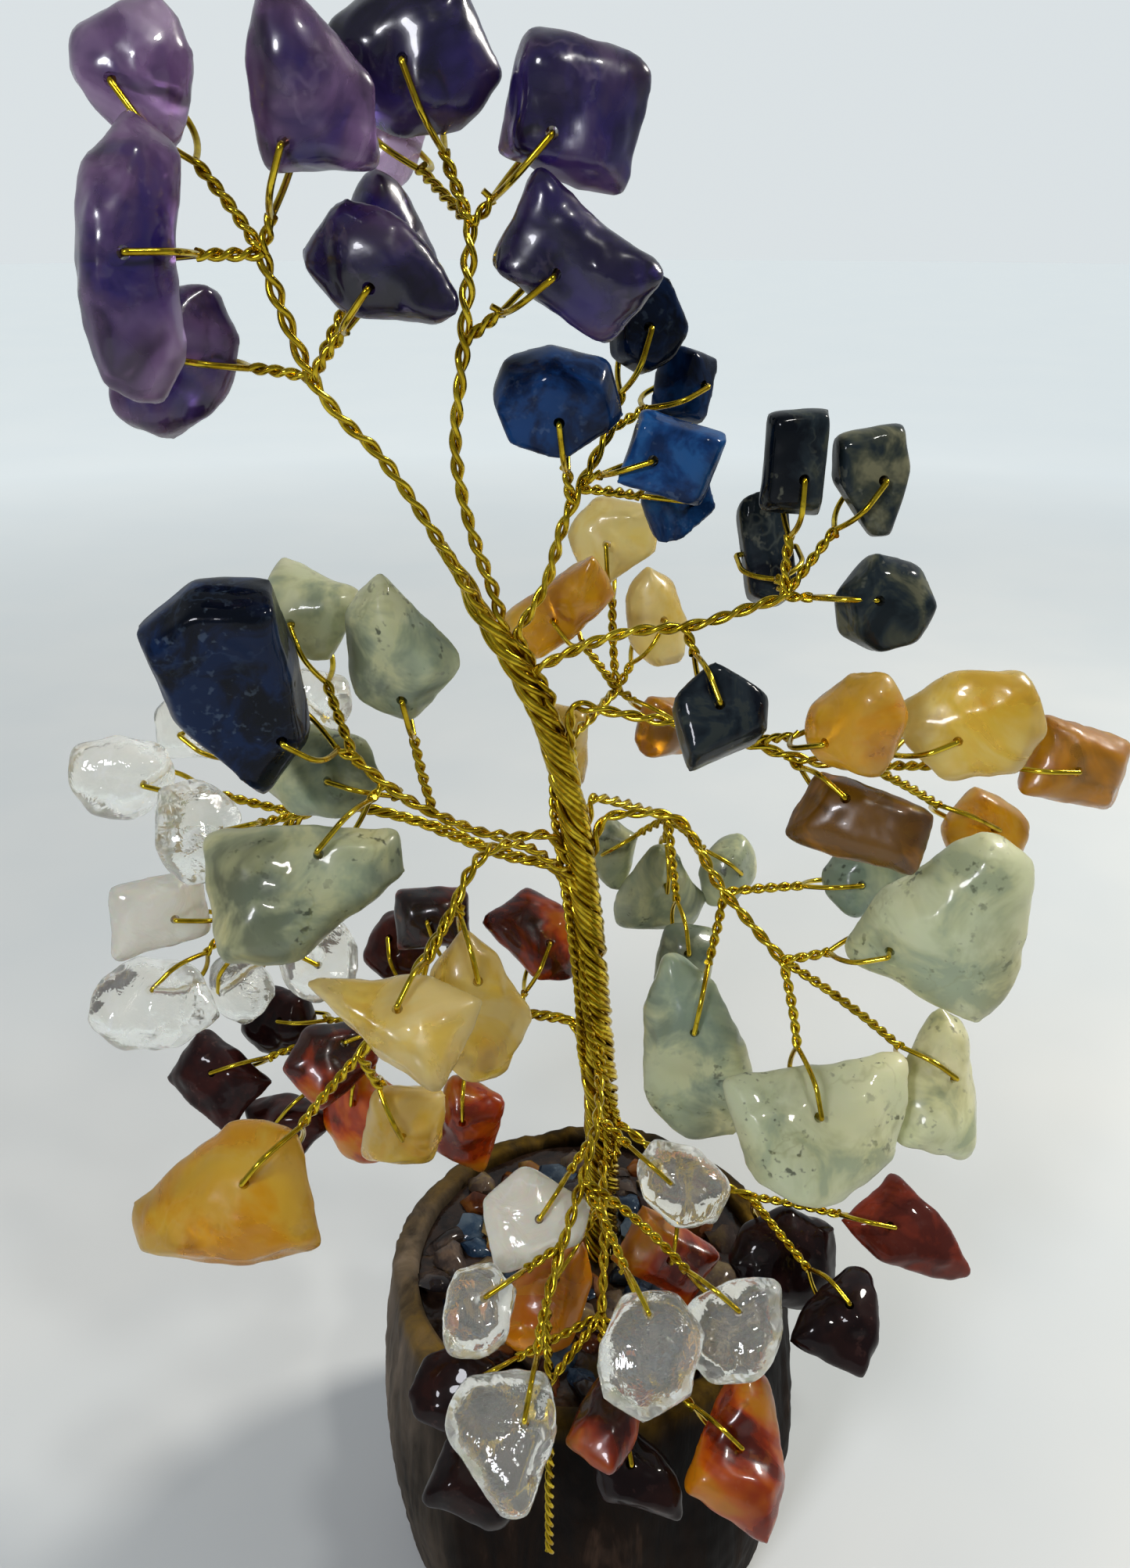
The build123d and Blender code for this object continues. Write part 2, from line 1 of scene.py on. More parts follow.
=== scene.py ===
import json
import random
from math import cos, pi, prod, radians, sin

import bmesh
import bpy
from mathutils import Matrix, Quaternion, Vector, noise

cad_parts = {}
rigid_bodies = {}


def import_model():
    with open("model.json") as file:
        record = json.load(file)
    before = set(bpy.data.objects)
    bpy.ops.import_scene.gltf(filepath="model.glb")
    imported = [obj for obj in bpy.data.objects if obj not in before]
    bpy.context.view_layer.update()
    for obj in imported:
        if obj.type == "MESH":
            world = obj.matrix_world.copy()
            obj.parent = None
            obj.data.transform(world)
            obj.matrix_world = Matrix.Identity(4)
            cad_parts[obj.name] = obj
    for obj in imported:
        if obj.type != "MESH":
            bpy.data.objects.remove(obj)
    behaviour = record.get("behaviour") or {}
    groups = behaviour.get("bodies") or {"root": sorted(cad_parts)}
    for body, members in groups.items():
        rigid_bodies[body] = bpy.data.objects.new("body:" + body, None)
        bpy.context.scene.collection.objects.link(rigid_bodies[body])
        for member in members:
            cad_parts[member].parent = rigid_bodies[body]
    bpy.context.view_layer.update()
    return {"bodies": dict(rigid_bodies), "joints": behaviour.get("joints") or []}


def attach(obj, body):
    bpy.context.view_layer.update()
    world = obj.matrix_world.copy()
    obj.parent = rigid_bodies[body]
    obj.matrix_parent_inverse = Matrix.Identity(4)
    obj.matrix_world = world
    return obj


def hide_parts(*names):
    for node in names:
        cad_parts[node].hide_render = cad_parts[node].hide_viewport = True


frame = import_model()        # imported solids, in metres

mm = 0.001               # every plan below is in millimetres
scene = bpy.context.scene
eitherWay = (-1, 1)
print("frame loaded")


# Helpers for draws, colours and nodes

def hexColour(code):     # "#rrggbb" as seen on screen, to the linear colour a shader takes
    parts = [int(code[n:n + 2], 16) / 255 for n in (1, 3, 5)]
    linear = [p / 12.92 if p <= 0.04045 else ((p + 0.055) / 1.055) ** 2.4 for p in parts]
    return (*linear, 1.0)


def drawEach(chance, *ranges):
    return [chance.uniform(*between) for between in ranges]


def setAll(item, **settings):
    for name, value in settings.items():
        setattr(item, name, value)
    return item


def feed(tree, socket, value):   # a link from another node, or a constant on the socket itself
    if isinstance(value, bpy.types.NodeSocket):
        tree.links.new(value, socket)
    else:
        socket.default_value = hexColour(value) if isinstance(value, str) else value


def addNode(tree, kind, inputs=None, **settings):
    node = setAll(tree.nodes.new(kind), **settings)
    for name, value in (inputs or {}).items():
        feed(tree, node.inputs[name], value)
    return node


def rampNode(tree, source, stops):
    node = addNode(tree, "ShaderNodeValToRGB", {"Fac": source})
    marks = node.color_ramp.elements
    while len(marks) < len(stops):
        marks.new(0.5)
    for mark, (position, code) in zip(marks, stops):
        mark.position = position
        mark.color = hexColour(code)
    return node.outputs["Color"]


def mathNode(tree, operation, first, second):
    return addNode(tree, "ShaderNodeMath", {0: first, 1: second}, operation=operation).outputs["Value"]


def times(tree, first, second):
    return mathNode(tree, "MULTIPLY", first, second)


def rangeNode(tree, source, low, high, toLow=0, toHigh=1):
    inputs = {"Value": source, "From Min": low, "From Max": high, "To Min": toLow, "To Max": toHigh}
    return addNode(tree, "ShaderNodeMapRange", inputs).outputs["Result"]


def mixColour(tree, mask, first, second):
    inputs = {"Factor": mask, "A": first, "B": second}
    return addNode(tree, "ShaderNodeMix", inputs, data_type="RGBA").outputs["Result"]


def noiseNode(tree, vector, scale, detail, rough=0.55, distort=0.0):
    inputs = {"Vector": vector, "Scale": scale, "Detail": detail, "Roughness": rough, "Distortion": distort}
    return addNode(tree, "ShaderNodeTexNoise", inputs).outputs["Fac"]


def objectPlace(tree, stretch=(1, 1, 1)):
    place = addNode(tree, "ShaderNodeTexCoord").outputs["Object"]
    return addNode(tree, "ShaderNodeMapping", {"Vector": place, "Scale": stretch}).outputs["Vector"]


def bumpNode(tree, height, strength, distance):
    inputs = {"Height": height, "Strength": strength, "Distance": distance}
    return addNode(tree, "ShaderNodeBump", inputs).outputs["Normal"]


def attributeNode(tree, name):
    return addNode(tree, "ShaderNodeAttribute", attribute_name=name).outputs["Fac"]


def axisNode(tree, vector, axis):
    return addNode(tree, "ShaderNodeSeparateXYZ", {"Vector": vector}).outputs[axis]


def setSockets(tree, shader, **sockets):     # Base_Color stands for the socket "Base Color"
    for label, value in sockets.items():
        feed(tree, shader.inputs[label.replace("_", " ")], value)


def newMaterial(name, **sockets):
    material = bpy.data.materials.new(name)
    material.use_nodes = True
    tree = material.node_tree
    shader = tree.nodes["Principled BSDF"]
    setSockets(tree, shader, **sockets)
    return material, tree, shader


mostNoise = (0.3, 0.7)           # nearly all of a noise lies in this band, and most of it in the next
middleNoise = (0.35, 0.65)


# What every polished stone shows: clouds, clustered flecks, thin veins, a slow change of tint and waviness

bodyPlan = {                     # a noise's scale, detail, roughness and distortion, and its mask's band
    "cloud": (4, 0.6, 0.6), "cloudBand": (0.41, 0.59), "fleck": (2, 0.6), "fleckBand": (0.6, 0.68),
    "vein": (4, 0.55, 0.3), "veinWidth": 0.02, "cluster": (150, 2), "clusterBand": (0.45, 0.62),
    "tint": (60, 2),
    "scales": {"Cloud Scale": 170, "Fleck Scale": 900, "Vein Scale": 260},
}


def makeStoneBody():
    plan = bodyPlan
    group = bpy.data.node_groups.new("stoneBody", "ShaderNodeTree")
    for label, value in plan["scales"].items():
        socket = group.interface.new_socket(label, in_out="INPUT", socket_type="NodeSocketFloat")
        socket.default_value = value
    scales = group.nodes.new("NodeGroupInput").outputs
    place = objectPlace(group)
    cloud = noiseNode(group, place, scales["Cloud Scale"], *plan["cloud"])
    fleck = noiseNode(group, place, scales["Fleck Scale"], *plan["fleck"])
    cluster = rangeNode(group, noiseNode(group, place, *plan["cluster"]), *plan["clusterBand"])
    ridge = noiseNode(group, place, scales["Vein Scale"], *plan["vein"])
    fold = mathNode(group, "ABSOLUTE", mathNode(group, "SUBTRACT", ridge, 0.5), 0)
    masks = {
        "Cloud": rangeNode(group, cloud, *plan["cloudBand"]),
        "Fleck": times(group, rangeNode(group, fleck, *plan["fleckBand"]), cluster),
        "Vein": times(group, rangeNode(group, fold, 0, plan["veinWidth"], 1, 0), cluster),
        "Tint": rangeNode(group, noiseNode(group, place, *plan["tint"]), *middleNoise),
        "Height": cloud,
    }
    for label in masks:
        group.interface.new_socket(label, in_out="OUTPUT", socket_type="NodeSocketFloat")
    sink = group.nodes.new("NodeGroupOutput")
    for label, mask in masks.items():
        group.links.new(mask, sink.inputs[label])
    return group


stoneBody = makeStoneBody()

opaqueStone = {"edge": 0.0, "clear": 0.0, "glow": 0.0, "depth": (1, 1, 1)}
bedStone = {"scales": (260, 1100, 220), "shine": (0.1, 0.3)}
gemPlan = {              # colours run from a stone of tone 0 to one of tone 1, and edges are painted paler, as if lit through
    "amethyst": {
        "stops": [(0, "#cdb3d0"), (0.25, "#85628e"), (0.5, "#4a3259"), (0.7, "#291a62"), (0.85, "#170e42"),
                  (1, "#0a0720")],
        "clouding": 0.42, "fleck": ("#cfc3d2", 0.1), "vein": ("#b9a3bd", 0.24), "tint": ("#2e2044", 0.35),
        "scales": (110, 800, 95), "shine": (0.16, 0.34), "edge": 0.22,
        "clear": 0.78, "glow": 0.15, "depth": (0.7, 0.4, 0.9),
    },
    "lapis": {
        "stops": [(0, "#2a64a0"), (0.35, "#143c70"), (0.6, "#0c2246"), (0.8, "#050e22"), (1, "#03070f")],
        "clouding": 0.4, "fleck": ("#7f94aa", 0.16), "vein": ("#5f7898", 0.08), "tint": ("#060c18", 0.45),
        "scales": (200, 1000, 160), "shine": (0.25, 0.4),
    },
    "sodalite": {
        "stops": [(0, "#77755a"), (0.35, "#41453a"), (0.6, "#222b2f"), (1, "#070b10")],
        "clouding": 0.6, "fleck": ("#7c7d6c", 0.35), "vein": ("#6f7468", 0.25), "tint": ("#0c1424", 0.4),
        "scales": (180, 900, 140), "shine": (0.25, 0.4),
    },
    "honey": {
        "stops": [(0, "#ecdc98"), (0.3, "#e0bf40"), (0.55, "#da9f08"), (0.8, "#c07a00"), (1, "#5c3600")],
        "clouding": 0.32, "fleck": ("#8a5c14", 0.2), "vein": ("#f2e2ae", 0.1), "tint": ("#d8a02c", 0.25),
        "scales": (110, 700, 120), "shine": (0.24, 0.4), "edge": 0.12,
        "clear": 0.65, "glow": 0.2, "depth": (0.8, 0.65, 0.3),
    },
    "green": {
        "stops": [(0, "#ebe7b8"), (0.3, "#d2cd98"), (0.55, "#a9aa80"), (0.8, "#808264"), (1, "#5a5f48")],
        "clouding": 0.6, "fleck": ("#30362a", 0.85), "vein": ("#8b8a45", 0.3), "tint": ("#aecdbe", 0.4),
        "scales": (140, 900, 110), "shine": (0.3, 0.45), "edge": 0.12,
        "clear": 0.4, "glow": 0.4, "depth": (0.85, 1.0, 0.7),
    },
    "carnelian": {
        "stops": [(0, "#e2940e"), (0.25, "#dc6a04"), (0.5, "#b23902"), (0.75, "#5c1602"), (1, "#1a0502")],
        "clouding": 0.8, "fleck": ("#d88a3c", 0.15), "vein": ("#1c0805", 0.3), "tint": ("#3c1008", 0.35),
        "scales": (85, 700, 100), "shine": (0.25, 0.4), "edge": 0.15,
        "clear": 0.5, "glow": 0.3, "depth": (1.0, 0.35, 0.1),
    },
    "red": {
        "stops": [(0, "#88341f"), (0.35, "#481d14"), (0.7, "#22110e"), (1, "#120909")],
        "clouding": 0.3, "fleck": ("#6e4a42", 0.2), "vein": ("#0c0505", 0.3), "tint": ("#241519", 0.4),
        "scales": (160, 900, 130), "shine": (0.3, 0.45),
    },
    "bed_blue": {
        "stops": [(0, "#46535f"), (0.4, "#213346"), (0.7, "#121c2c"), (1, "#080c13")],
        "clouding": 0.4, "fleck": ("#6f7f8c", 0.35), "vein": ("#101820", 0.3), "tint": ("#2c2a2c", 0.4),
        **bedStone,
    },
    "bed_amber": {
        "stops": [(0, "#8f6c30"), (0.4, "#73441c"), (0.7, "#4c2410"), (1, "#24100a")],
        "clouding": 0.5, "fleck": ("#a8763c", 0.25), "vein": ("#1c0c07", 0.35), "tint": ("#3c2a20", 0.4),
        **bedStone,
    },
    "bed_grey": {
        "stops": [(0, "#7a6840"), (0.35, "#594a3d"), (0.7, "#3a312c"), (1, "#1f1a18")],
        "clouding": 0.45, "fleck": ("#8d806c", 0.35), "vein": ("#2a2420", 0.35), "tint": ("#3a3438", 0.4),
        **bedStone,
    },
}
gemFinish = {
    "index": 1.54, "polish": 0.32, "polishRough": 0.03,
    "gloss": 0.06, "opaqueGloss": 0.02,      # the body under the polish is duller
    "glowReach": 0.003, "bumpStrength": 0.2, "bumpDepth": 0.0006,
}


def stoneSkin(name, plan, scales, bumpStrength):     # what gems and quartz have in common
    material, tree, shader = newMaterial(name, IOR=gemFinish["index"])
    body = addNode(tree, "ShaderNodeGroup", dict(zip(bodyPlan["scales"], scales)), node_tree=stoneBody)
    setSockets(
        tree, shader, Subsurface_Weight=plan["glow"], Subsurface_Scale=gemFinish["glowReach"],
        Roughness=rangeNode(tree, body.outputs["Cloud"], 0, 1, *plan["shine"]),
        Normal=bumpNode(tree, body.outputs["Height"], bumpStrength, gemFinish["bumpDepth"]))
    return material, tree, shader, body.outputs


def polishedStone(gem):
    plan = {**opaqueStone, **gemPlan[gem]}
    material, tree, shader, body = stoneSkin(
        gem + "Polished", plan, plan["scales"], gemFinish["bumpStrength"])
    half = plan["clouding"] / 2
    drift = rangeNode(tree, body["Cloud"], 0, 1, half, -half)
    tone = mathNode(tree, "ADD", attributeNode(tree, "stoneTone"), drift)
    colour = rampNode(tree, tone, plan["stops"])
    for label in ("Tint", "Fleck", "Vein"):
        code, amount = plan[label.lower()]
        colour = mixColour(tree, times(tree, body[label], amount), colour, code)
    setSockets(
        tree, shader, Base_Color=colour, Transmission_Weight=plan["clear"], Subsurface_Radius=plan["depth"],
        Specular_IOR_Level=gemFinish["gloss" if plan["clear"] else "opaqueGloss"],
        Coat_Weight=gemFinish["polish"], Coat_Roughness=gemFinish["polishRough"])
    return material


quartzPlan = {
    "clear": {"through": 0.88, "glow": 0.05, "shine": (0.0, 0.05), "body": "#f9f8f0", "veil": "#ffffff"},
    "milky": {"through": 0.4, "glow": 0.3, "shine": (0.06, 0.2), "body": "#f6f3e6", "veil": "#fffdf6"},
    "scales": (200, 900, 140), "bumpStrength": 0.55, "milkyFrom": 0.6,
}


def quartzStone(kind):
    plan = quartzPlan[kind]
    material, tree, shader, body = stoneSkin(
        kind + "Quartz", plan, quartzPlan["scales"], quartzPlan["bumpStrength"])
    colour = mixColour(tree, body["Vein"], plan["body"], plan["veil"])
    setSockets(tree, shader, Base_Color=colour, Transmission_Weight=plan["through"])
    return material


wireFinish = {
    "bright": "#dfc236", "deep": "#a68816", "tarnish": "#4f420e", "shine": (0.1, 0.26),
    "patch": (420, 3), "stain": (1500, 2), "stainBand": (0.6, 0.75), "stained": 0.6, "bump": (0.2, 0.0001),
}


def brassWire():
    plan = wireFinish
    material, tree, shader = newMaterial("brassWire", Metallic=1.0)
    place = objectPlace(tree)
    patch = noiseNode(tree, place, *plan["patch"])
    stain = noiseNode(tree, place, *plan["stain"])
    colour = mixColour(tree, rangeNode(tree, patch, *middleNoise), plan["bright"], plan["deep"])
    stained = rangeNode(tree, stain, *plan["stainBand"], 0, plan["stained"])
    setSockets(
        tree, shader, Base_Color=mixColour(tree, stained, colour, plan["tarnish"]),
        Roughness=rangeNode(tree, patch, *mostNoise, *plan["shine"]),
        Normal=bumpNode(tree, stain, *plan["bump"]))
    return material


barkFinish = {
    "stops": [(0, "#030201"), (0.4, "#0c0705"), (0.7, "#1e140d"), (1, "#46352a")],
    "rim": "#7a5e18", "stretch": (230, 230, 34), "grain": (1.0, 5, 0.6, 0.5), "blotch": (55, 4),
    "shine": (0.6, 0.85),
    "grainShare": 0.75, "blotchShare": 0.45, "bump": (0.7, 0.0006),
    "leftLightPale": "#a39482", "leftLightReach": (-0.016, -0.031),     # the left side is painted paler, as if lit from there
    "leftLightBand": (0.42, 0.75), "leftLightShare": (0.05, 0.85), "colourBand": (0.4, 0.82), "gloss": 0.08,
    "grainWear": (0.4, 0.6, 0.3, 1), "blotchWear": (0.42, 0.58, 0.15, 1),    # where the rim's stain is gone
}


def stainedBark():
    plan = barkFinish
    material, tree, shader = newMaterial("stainedBark", Specular_IOR_Level=plan["gloss"])
    place = objectPlace(tree)
    grain = noiseNode(tree, objectPlace(tree, plan["stretch"]), *plan["grain"])
    blotch = noiseNode(tree, place, *plan["blotch"])
    streaks = times(tree, grain, plan["grainShare"])
    mixed = mathNode(tree, "ADD", streaks, times(tree, blotch, plan["blotchShare"]))
    colour = rampNode(tree, rangeNode(tree, mixed, *plan["colourBand"]), plan["stops"])
    # painted light: towards the left (-X) side the bark is mixed with a pale grey-brown, as if lit
    leftward = rangeNode(tree, axisNode(tree, place, "X"), *plan["leftLightReach"])
    leftLit = times(tree, leftward, rangeNode(tree, mixed, *plan["leftLightBand"], *plan["leftLightShare"]))
    colour = mixColour(tree, leftLit, colour, plan["leftLightPale"])
    worn = times(tree, attributeNode(tree, "rimWear"), rangeNode(tree, grain, *plan["grainWear"]))
    worn = times(tree, worn, rangeNode(tree, blotch, *plan["blotchWear"]))
    setSockets(
        tree, shader, Base_Color=mixColour(tree, worn, colour, plan["rim"]),
        Roughness=rangeNode(tree, grain, *mostNoise, *plan["shine"]),
        Normal=bumpNode(tree, grain, *plan["bump"]))
    return material


resinFinish = {
    "stops": [(0.3, "#140e0c"), (0.55, "#2c2019"), (0.75, "#4a3824")],
    "murk": (320, 4), "shine": (0.05, 0.2), "bump": (0.3, 0.0006), "gloss": 0.25,
}


def bedResin():
    plan = resinFinish
    material, tree, shader = newMaterial("bedResin", IOR=1.5, Specular_IOR_Level=plan["gloss"])
    murk = noiseNode(tree, objectPlace(tree), *plan["murk"])
    setSockets(
        tree, shader, Base_Color=rampNode(tree, murk, plan["stops"]),
        Roughness=rangeNode(tree, murk, *mostNoise, *plan["shine"]),
        Normal=bumpNode(tree, murk, *plan["bump"]))
    return material


gemMaterials = {gem: polishedStone(gem) for gem in gemPlan}
clearQuartz = quartzStone("clear")
milkyQuartz = quartzStone("milky")
goldWire = brassWire()
barkSkin = stainedBark()
resinSkin = bedResin()
print("materials made:", len(bpy.data.materials))


# The tree's plan, in millimetres from the trunk's foot on the bed

bedTop = 44
jointPlace = {joint["name"]: Vector(joint["pos_m"]) / mm for joint in frame["joints"]}
trunkPoints = [
    (1.8, 2.0, 0.0), (1.9, 2.0, 12.0), (1.4, 1.0, 28.0), (0.1, 0.0, 46.0),
    (-1.4, -1.0, 63.0), (-3.8, -2.0, 77.0), (-9.2, -4.0, 88.0), (-14.8, -6.0, 98.5),
]

outlinePlan = {                      # chips one unit long and wide, narrow end to the right
    "pebble": [
        (-0.5, -0.1), (-0.28, -0.46), (0.22, -0.5), (0.5, -0.12), (0.36, 0.38), (-0.12, 0.5), (-0.46, 0.28),
    ],
    "block": [(-0.5, -0.38), (0.4, -0.5), (0.5, 0.34), (-0.38, 0.5)],
    "wedge": [(-0.5, -0.34), (-0.14, -0.5), (0.44, -0.24), (0.5, 0.02), (0.0, 0.44), (-0.36, 0.5)],
    "kite": [(-0.5, 0.1), (-0.16, -0.46), (0.5, -0.08), (0.3, 0.3), (-0.2, 0.5)],
    "bean": [
        (-0.5, -0.16), (-0.3, -0.5), (0.08, -0.4), (0.38, -0.46),
        (0.5, 0.0), (0.32, 0.46), (-0.1, 0.5), (-0.42, 0.36),
    ],
    "drop": [(-0.5, -0.2), (-0.2, -0.5), (0.3, -0.36), (0.5, 0.0), (0.26, 0.34), (-0.22, 0.5), (-0.48, 0.24)],
    "shard": [(-0.5, -0.44), (0.26, -0.5), (0.5, -0.1), (0.06, 0.5), (-0.4, 0.32)],
    "trapeze": [(-0.5, 0.44), (-0.4, -0.2), (0.06, -0.5), (0.44, -0.14), (0.5, 0.5)],
    "plate": [
        (-0.48, 0.08), (-0.33, -0.44), (0.05, -0.4), (0.56, -0.2), (0.34, 0.34), (0.0, 0.5), (-0.4, 0.52),
    ],
    "wing": [(-0.5, 0.42), (-0.1, -0.12), (0.3, -0.5), (0.5, 0.36), (0.1, 0.5)],
}

branchPlan = {           # the root's share of the trunk's length, and the stem's points after the root
    "crown_left": (0.985, [(-18.5, -10, 107), (-22.5, -12, 111), (-25, -14, 116), (-26.7, -16, 124)]),
    "crown_right": (0.955, [(-13.6, -8, 105), (-11.4, -12, 117), (-10.8, -10, 126)]),
    "lapis": (0.89, [(-5, -4, 93.5), (-3.9, -5, 98), (-2.8, -6, 102), (1.2, -1.5, 108.5)]),
    "sodalite": (0.845, [(1, -6, 90), (9, -8, 91), (14, -7, 92.5), (18, -6, 93.5)]),
    "honey_back": (0.74, [(0, 7, 76), (3, 15, 76)]),
    "honey_right": (
        0.79, [(3, -4, 80.5), (10, -3.5, 79), (15.5, -6.5, 78.5), (20.5, -10.5, 78), (26.5, -10, 77.5)],
    ),
    "green_right": (0.655, [(8.8, 1, 67.5), (11.5, -3, 64.5), (13.5, -6, 61), (19.7, -12, 56)]),
    "green_back": (0.665, [(4.5, 7, 65), (9.5, 13, 60)]),
    "green_left": (0.66, [(-10, -5, 66.5), (-16, -10, 72), (-19.5, -12.5, 75.5), (-23, -14, 80)]),
    "quartz_left": (0.615, [(-10, -2, 63), (-19, -1, 67), (-30, -2, 70), (-36, -1, 63), (-40, 0, 54)]),
    "honey_left": (0.63, [(-7.5, -8, 68.5), (-12, -14.5, 70), (-14.5, -21, 65), (-23, -24, 53)]),
    "red_left": (0.375, [(-8, 5, 37), (-17, 8, 35), (-28.5, 10, 31.5)]),
    "quartz_front": (0.33, [(1, -8, 33), (-1, -16, 30.5), (-4, -25, 26.5), (-5, -28, 24.5)]),
    "red_right": (0.24, [(7, -4, 23.5), (13, -7, 21.5), (19, -9, 20.5)]),
    "red_front": (0.19, [(1.5, -7, 19), (1.5, -15, 17), (1, -21, 14.5)]),
}

